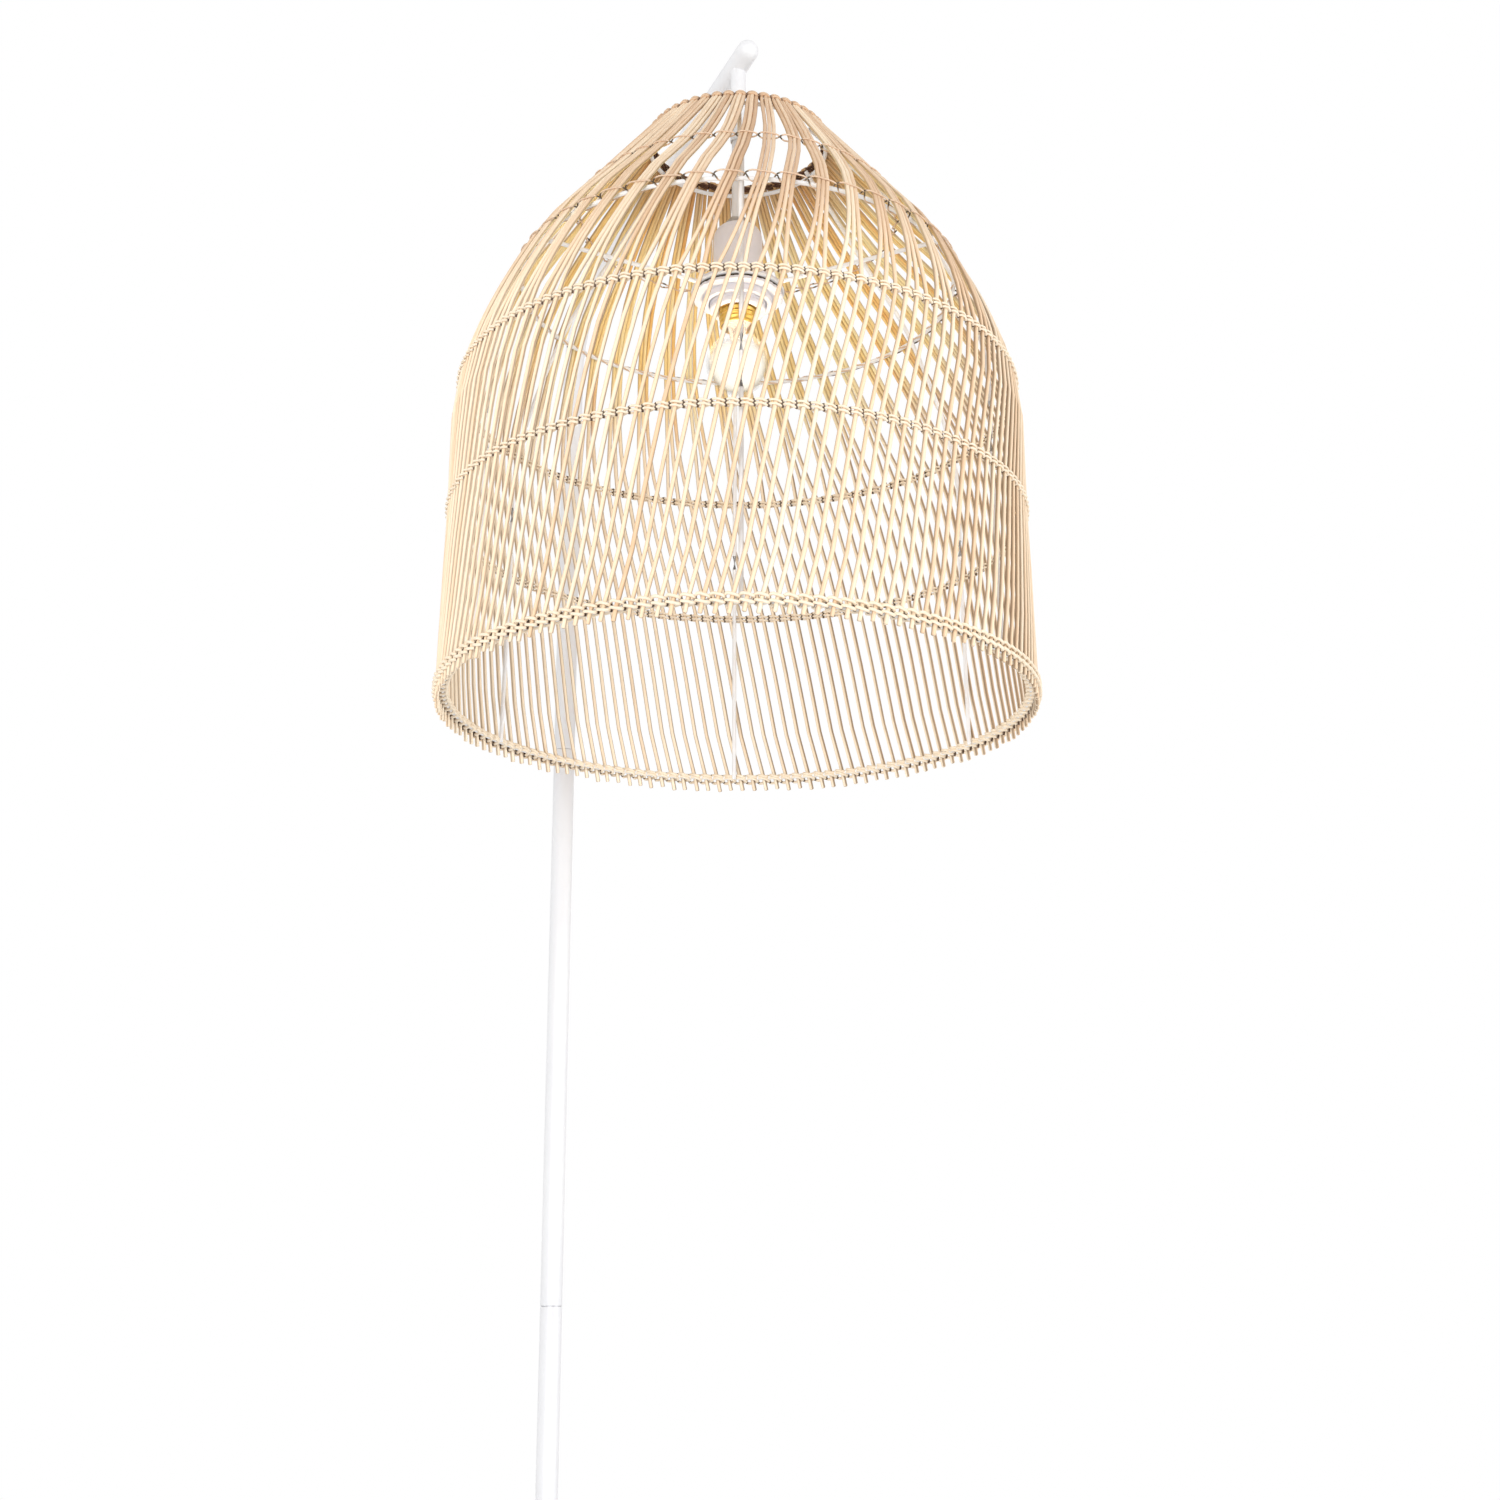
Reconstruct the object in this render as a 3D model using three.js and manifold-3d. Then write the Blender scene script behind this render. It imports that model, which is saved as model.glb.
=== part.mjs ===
// Rattan floor lamp: a woven dome shade hung from the crook of a slim white pole on a round base.
// Millimetres, +Z up. The origin is on the floor under the pole's axis, in the middle of the felt
// pad's underside, and +X is the way the arm reaches. The shade's axis stands at X = reach.
import * as THREE from 'three';
import { mergeVertices } from 'three/addons/utils/BufferGeometryUtils.js';
import Module from 'manifold-3d';

const wasm = await Module();
wasm.setup();

// Gaps and cutting tools
const clearance = 0.3;               // gap between neighbouring pieces
const overrun = 4;                   // how far a cutting tool runs past the wall it cuts

// Base
const base_diameter = 300;
const base_thickness = 8;
const base_edge_radius = 3;
const pad_thickness = 3;
const pad_inset = 5;                 // the felt stops this far inside the base's edge
const bolt_diameter = 8;
const bolt_head_diameter = 15;
const bolt_head_height = 3;
const washer_diameter = 22;
const washer_thickness = 1.2;
const recess_margin = 1.5;           // room round the washer in the recess under the base
const collar_diameter = 30;
const collar_height = 26;
const collar_floor = 4;
const collar_chamfer = 2;
const grub_diameter = 5;
const grub_height = 16;              // the grub screw's axis above the collar's foot

// Pole
const tube_diameter = 16;
const tube_wall = 1.2;
const section_length = 420;
const section_count = 3;
const coupler_length = 44;
const coupler_bore = 7;
const plug_length = 22;
const grommet_height = 40;           // the cord outlet's axis above the collar's top
const grommet_bore = 7;
const grommet_wall = 1.2;
const grommet_flange_width = 1.8;
const grommet_flange_thickness = 1.4;

// Crook
const crook_straight = 318;
const bend_radius = 80;
const arm_slope_degrees = 15;
const reach = 276;                   // pole axis to shade axis
const arm_overhang = 14;             // arm axis past the shade's axis, up to the cap's centre
const spigot_share = 0.6;            // of the arm left between the stem and the cap
const stem_wall = 0.8;
const stem_length = 64;              // below the arm's axis
const nipple_diameter = 9;
const nipple_wall = 1.5;
const nipple_length = 68;            // between the drop stem and the lampholder
const nipple_thread_length = 16;     // hidden in the stem
const nut_width = 14;                // across the flats
const nut_sides = 6;
const nut_thickness = 4;

// Lampholder
const cover_diameter = 35;
const cover_height = 38;
const cover_wall = 1.5;
const cover_shoulder = 11;
const nipple_inset = 8;              // the nipple's length inside the cover
const skirt_diameter = 40;
const skirt_height = 29.6;
const skirt_rib_depth = 0.8;
const skirt_rib_count = 5;
const skirt_neck_height = 8;
const ring_setback = 13.2;           // skirt's top down to the shade's fitting
const ring_flange_diameter = 64;
const ring_flange_thickness = 2.2;
const ring_collar_diameter = 48;
const ring_collar_height = 5;
const shade_washer_diameter = 63;
const shade_washer_thickness = 1;
const insert_height = 12;
const leaf_diameter = 9;
const leaf_thickness = 0.6;

// Bulb
const cap_diameter = 26.5;
const cap_height = 24;
const cap_wall = 0.6;
const cap_show = 11.4;               // the cap's length below the lampholder
const cap_rib_depth = 0.7;
const cap_rib_count = 4;
const contact_diameter = 16;
const contact_tip_diameter = 8;
const contact_height = 3;
const globe_diameter = 45;
const globe_length = 51;             // below the cap
const glass_wall = 1;
const neck_inset = 4;                // the glass neck's length inside the cap
const support_top_diameter = 15;
const support_rod_diameter = 3;
const support_disc_diameter = 15;
const support_disc_thickness = 1;
const filament_diameter = 1.8;
const filament_length = 20;
const filament_circle_diameter = 11;
const filament_count = 4;

// Shade
const rim_radius = 200;              // the rods' middle line at the mouth
const shade_height = 421;            // mouth band to top band
const band_height_shares = [0, 0.302, 0.523, 0.729, 0.857, 1];
const band_radius_shares = [1, 0.983, 0.962, 0.78, 0.57, 0.322];
const band_twist_degrees = [0, 7.5, 14.5, 21.5, 26.5, 32.5];
const bands_below_hoop_count = { mouth_hoop: 0, shoulder_hoop: 3, top_hoop: 5 };
const hoop_drop = { mouth_hoop: 0, shoulder_hoop: 0, top_hoop: 3 };  // down the wall from its band
const spider_height = 304;           // the fitting's upper face above the mouth
const spider_ring_margin = 1;        // the fitting's ring stands out past the shade rings' flanges
const spider_ring_thickness = 2;
const spider_arm_count = 3;
const wire_diameter = 3;
const upright_count = 6;
const upright_turn_degrees = 31.5;
const rod_diameter = 3;              // rattan core, and so the thickness of the weave
const weave_gap = 0.9;               // from the wire hoops to the weave
const ribbon_count = 48;
const rods_per_ribbon = 3;           // side by side
const ribbon_fill_share = 0.78;      // the most of its pitch that a ribbon takes
const twine_height = 6;              // a twined band's height along the wall
const rod_tail = 6.5;                // rods past the mouth's band
const rod_stub = 2;                  // rods past the top band
const open_row_counts = [1, 1, 2, 1, 1];

// Facets round a circle
const sides_small = 12;
const sides_tube = 16;
const sides_turned = 24;
const sides_base = 48;
const sides_wire = 6;
const sides_hoop = 36;
const bend_steps = 7;

// Sizes that follow from those above
const tube_radius = tube_diameter / 2;
const tube_bore_radius = tube_radius - tube_wall;
const coupler_radius = tube_bore_radius - clearance;
const ring_bore_radius = skirt_diameter / 2 + clearance;
const socket_radius = cap_diameter / 2 + clearance;
const nipple_radius = nipple_diameter / 2;
const stem_bore_radius = nipple_radius + clearance;
const stem_radius = stem_bore_radius + stem_wall;
const arm_slope = THREE.MathUtils.degToRad(arm_slope_degrees);

// Heights, from the floor up to the arm
const base_bottom = pad_thickness + clearance;
const base_top = base_bottom + base_thickness;
const collar_bottom = base_top + clearance;
const pole_bottom = collar_bottom + collar_floor + clearance;
const section_pitch = section_length + clearance;
const crook_bottom = pole_bottom + section_count * section_pitch;
const bend_bottom = crook_bottom + crook_straight;
const bend_turn = Math.PI / 2 - arm_slope;
const bend_end_x = bend_radius * (1 - Math.cos(bend_turn));
const bend_end_z = bend_bottom + bend_radius * Math.sin(bend_turn);
const arm_height = bend_end_z + (reach - bend_end_x) * Math.tan(arm_slope);

// Heights, from the arm down to the shade's mouth and the bulb
const stem_bottom = arm_height - stem_length;
const cover_top = stem_bottom - nipple_length;
const cover_bottom = cover_top - cover_height;
const skirt_top = cover_bottom - clearance;
const skirt_bottom = skirt_top - skirt_height;
const spider_top = skirt_top - ring_setback;
const spider_bottom = spider_top - spider_ring_thickness;
const shade_washer_top = spider_bottom - clearance;
const lower_ring_top = shade_washer_top - shade_washer_thickness - clearance;
const rim_height = spider_top - spider_height;
const cap_bottom = skirt_bottom - cap_show;
const cap_top = cap_bottom + cap_height;
const contact_top = cap_top + clearance + contact_height;

// Finishes
function finish(color, roughness, metalness) {
  return { color: new THREE.Color(...color), roughness, metalness };
}
const white_paint = finish([0.92, 0.92, 0.91], 0.4, 0);
const grey_felt = finish([0.3, 0.3, 0.3], 0.95, 0);
const zinc = finish([0.7, 0.71, 0.73], 0.35, 1);
const brass = finish([0.83, 0.66, 0.3], 0.3, 1);
const pale_plastic = finish([0.86, 0.85, 0.84], 0.45, 0);
const black_plastic = finish([0.06, 0.06, 0.06], 0.5, 0);
const porcelain = finish([0.93, 0.92, 0.88], 0.25, 0);
const fibre = finish([0.24, 0.2, 0.17], 0.8, 0);
const clear_glass = { ...finish([0.95, 0.96, 0.96], 0.05, 0), transparent: true, opacity: 0.3 };
const glowing = finish([1, 0.86, 0.6], 0.5, 0);
const rattan = finish([0.85, 0.68, 0.47], 0.65, 0);

const lamp = new THREE.Group();

// Puts one piece into the lamp as a mesh of its own
function addPiece(name, geometry, look, parent = lamp) {
  const mesh = new THREE.Mesh(geometry, new THREE.MeshStandardMaterial(look));
  mesh.name = name;
  parent.add(mesh);
  return mesh;
}

// Keeps positions alone, merges shared vertices and turns the faces outwards
function closedBody(geometry) {
  const bare = geometry.index ? geometry.toNonIndexed() : geometry.clone();
  bare.deleteAttribute('normal');
  bare.deleteAttribute('uv');
  const merged = mergeVertices(bare);
  const place = merged.attributes.position;
  const corners = Array.from(merged.index.array);
  const [a, b, c] = [new THREE.Vector3(), new THREE.Vector3(), new THREE.Vector3()];
  const kept = [];
  let volume = 0;
  for (let i = 0; i < corners.length; i += 3) {
    const [p, q, r] = corners.slice(i, i + 3);
    if (p === q || q === r || r === p) continue;
    a.fromBufferAttribute(place, p);
    b.fromBufferAttribute(place, q);
    c.fromBufferAttribute(place, r);
    volume += a.dot(b.cross(c));
    kept.push(p, q, r);
  }
  if (volume < 0) kept.reverse();
  merged.setIndex(kept);
  merged.computeVertexNormals();
  return merged;
}

function toManifold(geometry) {
  return new wasm.Manifold(new wasm.Mesh({
    numProp: 3,
    vertProperties: new Float32Array(geometry.attributes.position.array),
    triVerts: new Uint32Array(geometry.index.array),
  }));
}

function fromManifold(body) {
  const mesh = body.getMesh();
  const geometry = new THREE.BufferGeometry();
  geometry.setAttribute('position', new THREE.BufferAttribute(mesh.vertProperties, mesh.numProp));
  geometry.setIndex(new THREE.BufferAttribute(mesh.triVerts, 1));
  return closedBody(geometry);
}

// Cuts closed tools out of a closed body
function cut(body, ...tools) {
  let result = toManifold(body);
  for (const tool of tools) result = result.subtract(toManifold(tool));
  return fromManifold(result);
}

// A turned piece about +Z, from a profile of [radius, height] points
function turned(profile, sides) {
  const points = profile.map(([radius, height]) => new THREE.Vector2(radius, height));
  return closedBody(new THREE.LatheGeometry(points, sides).rotateX(Math.PI / 2));
}

// A turned ring with square edges
function squareRing(bore, radius, bottom, top, sides) {
  return turned([[bore, bottom], [radius, bottom], [radius, top], [bore, top], [bore, bottom]], sides);
}

function roundBar(radius, bottom, top, sides) {
  return turned([[0, bottom], [radius, bottom], [radius, top], [0, top]], sides);
}

// A curve that is sampled exactly at its stations, each with a point and a direction
class StationCurve extends THREE.Curve {
  constructor(stations) {
    super();
    this.stations = stations;
  }

  spread(t, key) {
    const last = this.stations.length - 1;
    const i = Math.min(Math.floor(t * last), last - 1);
    return this.stations[i][key].clone().lerp(this.stations[i + 1][key], t * last - i);
  }

  getPoint(t) {
    return this.spread(t, 'point');
  }

  getPointAt(t) {
    return this.spread(t, 'point');
  }

  getTangent(t) {
    return this.spread(t, 'along').normalize();
  }

  getTangentAt(t) {
    return this.getTangent(t);
  }
}

// A round tube or, with no bore, a round wire along stations. A circle in a shape gets two
// sides for each of its curve segments.
function sweptTube(stations, radius, bore, sides) {
  const section = new THREE.Shape();
  section.absarc(0, 0, radius, 0, 2 * Math.PI);
  if (bore > 0) {
    const hole = new THREE.Path();
    hole.absarc(0, 0, bore, 0, 2 * Math.PI, true);
    section.holes.push(hole);
  }
  return closedBody(new THREE.ExtrudeGeometry(section, {
    steps: stations.length - 1,
    curveSegments: sides / 2,
    bevelEnabled: false,
    extrudePath: new StationCurve(stations),
  }));
}

function straightStations(start, end) {
  const along = end.clone().sub(start).normalize();
  return [{ point: start, along }, { point: end, along }];
}

function makeBase() {
  const radius = base_diameter / 2;
  const recess_radius = washer_diameter / 2 + recess_margin;
  const recess_top = base_bottom + bolt_head_height + washer_thickness + clearance;
  const hole = bolt_diameter / 2 + clearance;
  addPiece('felt_pad', roundBar(radius - pad_inset, 0, pad_thickness, sides_base), grey_felt);

  const edge = [];
  const edge_steps = 2;
  for (let i = 0; i <= edge_steps; i += 1) {
    const angle = (i / edge_steps) * (Math.PI / 2);
    edge.push([
      radius - base_edge_radius + base_edge_radius * Math.cos(angle),
      base_top - base_edge_radius + base_edge_radius * Math.sin(angle),
    ]);
  }
  addPiece('base_plate', turned([
    [hole, recess_top], [recess_radius, recess_top], [recess_radius, base_bottom],
    [radius, base_bottom], ...edge, [hole, base_top], [hole, recess_top],
  ], sides_base), white_paint);

  const washer_top = recess_top - clearance;
  const washer_bottom = washer_top - washer_thickness;
  addPiece('base_washer', squareRing(
    hole, washer_diameter / 2, washer_bottom, washer_top, sides_tube), zinc);

  const head_top = washer_bottom - clearance;
  const shank_top = pole_bottom + plug_length;
  addPiece('base_bolt', turned([
    [0, base_bottom], [bolt_head_diameter / 2, base_bottom], [bolt_head_diameter / 2, head_top],
    [bolt_diameter / 2, head_top], [bolt_diameter / 2, shank_top], [0, shank_top],
  ], sides_tube), zinc);

  const socket = tube_radius + clearance;
  const collar_top = collar_bottom + collar_height;
  const collar_radius = collar_diameter / 2;
  const collar = turned([
    [hole, collar_bottom], [collar_radius, collar_bottom],
    [collar_radius, collar_top - collar_chamfer], [collar_radius - collar_chamfer, collar_top],
    [socket, collar_top], [socket, collar_bottom + collar_floor],
    [hole, collar_bottom + collar_floor], [hole, collar_bottom],
  ], sides_turned);
  const grub_z = collar_bottom + grub_height;
  const grub_hole = roundBar(grub_diameter / 2 + clearance, 0, collar_radius + overrun, sides_small);
  grub_hole.rotateY(-Math.PI / 2).translate(0, 0, grub_z);
  addPiece('base_collar', cut(collar, grub_hole), white_paint);

  const grub = roundBar(grub_diameter / 2, tube_radius + clearance, collar_radius, sides_small);
  grub.rotateY(-Math.PI / 2).translate(0, 0, grub_z);
  addPiece('collar_screw', grub, zinc);
}

function makePole() {
  const names = ['pole_lower', 'pole_middle', 'pole_upper'];
  const couplers = ['coupler_lower', 'coupler_middle', 'coupler_upper'];
  const outlet_z = collar_bottom + collar_height + grommet_height;
  const outlet_radius = grommet_bore / 2 + grommet_wall;
  for (let i = 0; i < section_count; i += 1) {
    const bottom = pole_bottom + i * section_pitch;
    const top = bottom + section_length;
    let tube = squareRing(tube_bore_radius, tube_radius, bottom, top, sides_tube);
    if (i === 0) {
      const outlet = roundBar(outlet_radius + clearance, 0, tube_radius + overrun, sides_small);
      outlet.rotateY(-Math.PI / 2).translate(0, 0, outlet_z);
      tube = cut(tube, outlet);
    }
    addPiece(names[i] ?? `pole_${i + 1}`, tube, white_paint);

    const seam = top + clearance / 2;
    addPiece(couplers[i] ?? `coupler_${i + 1}`, squareRing(
      coupler_bore / 2, coupler_radius, seam - coupler_length / 2, seam + coupler_length / 2,
      sides_tube), zinc);
  }
  addPiece('pole_plug', squareRing(
    bolt_diameter / 2 + clearance, coupler_radius, pole_bottom, pole_bottom + plug_length,
    sides_tube), zinc);

  const flange_foot = tube_radius + clearance;
  const grommet = turned([
    [grommet_bore / 2, tube_bore_radius], [outlet_radius, tube_bore_radius],
    [outlet_radius, flange_foot], [outlet_radius + grommet_flange_width, flange_foot],
    [outlet_radius + grommet_flange_width, flange_foot + grommet_flange_thickness],
    [grommet_bore / 2, flange_foot + grommet_flange_thickness], [grommet_bore / 2, tube_bore_radius],
  ], sides_turned);
  grommet.rotateY(-Math.PI / 2).translate(0, 0, outlet_z);
  addPiece('cord_grommet', grommet, black_plastic);
}

// Where the arm's axis lies at a distance from the pole, and its direction
function armPoint(distance) {
  return new THREE.Vector3(distance, 0, arm_height + (distance - reach) * Math.tan(arm_slope));
}
const arm_direction = new THREE.Vector3(Math.cos(arm_slope), 0, Math.sin(arm_slope));

function makeCrook() {
  const up = new THREE.Vector3(0, 0, 1);
  const stations = [{ point: new THREE.Vector3(0, 0, crook_bottom), along: up }];
  for (let i = 0; i <= bend_steps; i += 1) {
    const angle = (i / bend_steps) * bend_turn;
    stations.push({
      point: new THREE.Vector3(
        bend_radius * (1 - Math.cos(angle)), 0, bend_bottom + bend_radius * Math.sin(angle)),
      along: new THREE.Vector3(Math.sin(angle), 0, Math.cos(angle)),
    });
  }
  const arm_end = armPoint(reach + arm_overhang * Math.cos(arm_slope));
  stations.push({ point: arm_end, along: arm_direction });
  const stem_hole = roundBar(
    stem_radius + clearance, arm_height - tube_radius - overrun, arm_height, sides_tube);
  stem_hole.translate(reach, 0, 0);
  addPiece('crook_tube', cut(
    sweptTube(stations, tube_radius, tube_bore_radius, sides_tube), stem_hole), white_paint);

  const spigot_length = (arm_overhang - stem_radius) * spigot_share;
  const spigot_radius = tube_bore_radius - clearance;
  const dome = [];
  const dome_steps = 6;
  for (let i = 0; i <= dome_steps; i += 1) {
    const angle = (i / dome_steps) * (Math.PI / 2);
    dome.push([tube_radius * Math.cos(angle), clearance + tube_radius * Math.sin(angle)]);
  }
  const cap = addPiece('arm_cap', turned([
    [0, -spigot_length], [spigot_radius, -spigot_length], [spigot_radius, clearance], ...dome,
  ], sides_tube), white_paint);
  cap.position.copy(arm_end);
  cap.rotation.y = bend_turn;

  const hung = new THREE.Group();
  hung.position.x = reach;
  lamp.add(hung);
  addPiece('drop_stem', squareRing(
    stem_bore_radius, stem_radius, stem_bottom, arm_height - clearance, sides_tube), white_paint, hung);
  addPiece('nipple', squareRing(
    nipple_radius - nipple_wall, nipple_radius, cover_top - nipple_inset,
    stem_bottom + nipple_thread_length, sides_tube), white_paint, hung);
  makeNut(hung);
  return hung;
}

function makeNut(hung) {
  const corner_radius = nut_width / 2 / Math.cos(Math.PI / nut_sides);
  const outline = new THREE.Shape();
  for (let i = 0; i < nut_sides; i += 1) {
    const angle = (i / nut_sides) * 2 * Math.PI;
    const corner = [corner_radius * Math.cos(angle), corner_radius * Math.sin(angle)];
    if (i === 0) outline.moveTo(...corner);
    else outline.lineTo(...corner);
  }
  outline.closePath();
  const hole = new THREE.Path();
  hole.absarc(0, 0, nipple_radius + clearance, 0, 2 * Math.PI, true);
  outline.holes.push(hole);
  const nut = new THREE.ExtrudeGeometry(outline, {
    depth: nut_thickness, bevelEnabled: false, curveSegments: sides_small / 2,
  });
  addPiece('nipple_nut', closedBody(nut.translate(0, 0, cover_top + clearance)), zinc, hung);
}

// A profile up a ribbed wall: each rib is a low triangle between two roots
function ribbedWall(root_radius, rib_depth, bottom, top, count) {
  const points = [[root_radius, bottom]];
  const pitch = (top - bottom) / count;
  for (let i = 0; i < count; i += 1) {
    points.push([root_radius + rib_depth, bottom + (i + 0.5) * pitch]);
    points.push([root_radius, bottom + (i + 1) * pitch]);
  }
  return points;
}

// One shade ring: a wide flange that grips the fitting, and a collar on the thread
function shadeRing(flange_face, away) {
  const flange_back = flange_face + away * ring_flange_thickness;
  const collar_back = flange_back + away * ring_collar_height;
  return turned([
    [ring_bore_radius, flange_face], [ring_flange_diameter / 2, flange_face],
    [ring_flange_diameter / 2, flange_back], [ring_collar_diameter / 2, flange_back],
    [ring_collar_diameter / 2, collar_back], [ring_bore_radius, collar_back],
    [ring_bore_radius, flange_face],
  ], sides_turned);
}

function makeLampholder(hung) {
  const outer = cover_diameter / 2;
  const inner = outer - cover_wall;
  const hole = nipple_radius + clearance;
  const shoulder = cover_top - cover_shoulder;
  const shoulder_steps = 4;
  const outside = [];
  const inside = [];
  for (let i = 0; i <= shoulder_steps; i += 1) {
    const angle = (i / shoulder_steps) * (Math.PI / 2);
    outside.push([
      hole + cover_wall + (outer - hole - cover_wall) * Math.cos(angle),
      shoulder + cover_shoulder * Math.sin(angle),
    ]);
    inside.unshift([
      hole + (inner - hole) * Math.cos(angle),
      shoulder + (cover_shoulder - cover_wall) * Math.sin(angle),
    ]);
  }
  addPiece('holder_cover', turned([
    [inner, cover_bottom], [outer, cover_bottom], ...outside, [hole, cover_top], ...inside,
    [inner, cover_bottom],
  ], sides_turned), pale_plastic, hung);

  const neck = inner - clearance;
  const root = skirt_diameter / 2 - skirt_rib_depth;
  addPiece('holder_skirt', turned([
    [socket_radius, skirt_bottom],
    ...ribbedWall(root, skirt_rib_depth, skirt_bottom, skirt_top, skirt_rib_count),
    [neck, skirt_top], [neck, skirt_top + skirt_neck_height],
    [socket_radius, skirt_top + skirt_neck_height], [socket_radius, skirt_bottom],
  ], sides_turned), pale_plastic, hung);

  const leaf_bottom = contact_top + clearance;
  const insert_bottom = leaf_bottom + leaf_thickness + clearance;
  addPiece('holder_leaf', roundBar(
    leaf_diameter / 2, leaf_bottom, leaf_bottom + leaf_thickness, sides_small), brass, hung);
  addPiece('holder_insert', roundBar(
    socket_radius - clearance, insert_bottom, insert_bottom + insert_height, sides_turned),
  porcelain, hung);

  addPiece('upper_ring', shadeRing(spider_top + clearance, 1), pale_plastic, hung);
  addPiece('lower_ring', shadeRing(lower_ring_top, -1), pale_plastic, hung);
  addPiece('shade_washer', squareRing(
    ring_bore_radius, shade_washer_diameter / 2, shade_washer_top - shade_washer_thickness,
    shade_washer_top, sides_turned), fibre, hung);
}

function makeBulb(hung) {
  const cap_root = cap_diameter / 2 - cap_rib_depth;
  const cap_inner = cap_root - cap_wall;
  const cap_lid = cap_top - cap_wall;
  addPiece('bulb_cap', turned([
    [cap_inner, cap_bottom],
    ...ribbedWall(cap_root, cap_rib_depth, cap_bottom, cap_top, cap_rib_count),
    [contact_tip_diameter / 2, cap_top], [contact_tip_diameter / 2, cap_lid],
    [cap_inner, cap_lid], [cap_inner, cap_bottom],
  ], sides_turned), brass, hung);

  const contact_bottom = cap_top + clearance;
  addPiece('bulb_contact', turned([
    [0, contact_bottom], [contact_diameter / 2, contact_bottom],
    [contact_tip_diameter / 2, contact_top], [0, contact_top],
  ], sides_tube), black_plastic, hung);

  const neck = cap_inner - clearance;
  const globe = globe_diameter / 2;
  const globe_middle = cap_bottom - globe_length + globe;
  const neck_angle = Math.asin(neck / globe);
  const globe_steps = 6;
  const wall = (radius, neck_radius) => {
    const points = [];
    for (let i = 0; i <= globe_steps; i += 1) {
      const angle = Math.PI - (i / globe_steps) * (Math.PI - neck_angle);
      points.push([radius * Math.sin(angle), globe_middle + radius * Math.cos(angle)]);
    }
    points[0][0] = 0;
    points.push([neck_radius, cap_bottom - clearance]);
    points.push([neck_radius, cap_bottom + neck_inset]);
    return points;
  };
  addPiece('bulb_glass', turned([
    ...wall(globe, neck), ...wall(globe - glass_wall, neck - glass_wall).reverse(),
  ], sides_turned), clear_glass, hung);

  const rod = support_rod_diameter / 2;
  const disc = support_disc_diameter / 2;
  const upper_disc = globe_middle + filament_length / 2 + clearance;
  const lower_disc = globe_middle - filament_length / 2 - clearance;
  const head_bottom = cap_bottom - clearance;
  addPiece('bulb_support', turned([
    [0, lower_disc - support_disc_thickness], [disc, lower_disc - support_disc_thickness],
    [disc, lower_disc], [rod, lower_disc], [rod, upper_disc], [disc, upper_disc],
    [disc, upper_disc + support_disc_thickness], [rod, upper_disc + support_disc_thickness],
    [support_top_diameter / 2, head_bottom], [neck - glass_wall - clearance, cap_bottom + neck_inset],
    [0, cap_bottom + neck_inset],
  ], sides_tube), clear_glass, hung);

  for (let i = 0; i < filament_count; i += 1) {
    const angle = ((i + 0.5) / filament_count) * 2 * Math.PI;
    const stick = addPiece(`filament_${i + 1}`, roundBar(
      filament_diameter / 2, globe_middle - filament_length / 2, globe_middle + filament_length / 2,
      sides_small), glowing, hung);
    stick.position.x = (filament_circle_diameter / 2) * Math.cos(angle);
    stick.position.y = (filament_circle_diameter / 2) * Math.sin(angle);
  }
}

// The rods' middle line up the shade's wall. A place is counted in bands, so 2.5 is halfway
// between the third band and the fourth, and the line runs on straight past both ends.
const last_band = band_height_shares.length - 1;
const wall_curve = new THREE.SplineCurve(band_height_shares.map((share, i) => new THREE.Vector2(
  rim_radius * band_radius_shares[i], shade_height * share)));

function wallPoint(place) {
  const held = THREE.MathUtils.clamp(place, 0, last_band);
  const point = wall_curve.getPoint(held / last_band);
  const along = wall_curve.getTangent(held / last_band);
  const normal = new THREE.Vector2(along.y, -along.x);
  return { point, along, normal };
}

// Where the wall is, pushed in by a depth and run on past the place by a length
function wallPlace(place, depth, run = 0) {
  const { point, along, normal } = wallPoint(place);
  return point.addScaledVector(normal, -depth).addScaledVector(along, run);
}

function wallTwist(place) {
  const held = THREE.MathUtils.clamp(place, 0, last_band);
  const i = Math.min(Math.floor(held), last_band - 1);
  const degrees = THREE.MathUtils.lerp(band_twist_degrees[i], band_twist_degrees[i + 1], held - i);
  return THREE.MathUtils.degToRad(degrees);
}

const hoop_depth = rod_diameter / 2 + weave_gap + wire_diameter / 2;
const upright_depth = hoop_depth + wire_diameter + clearance;

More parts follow.
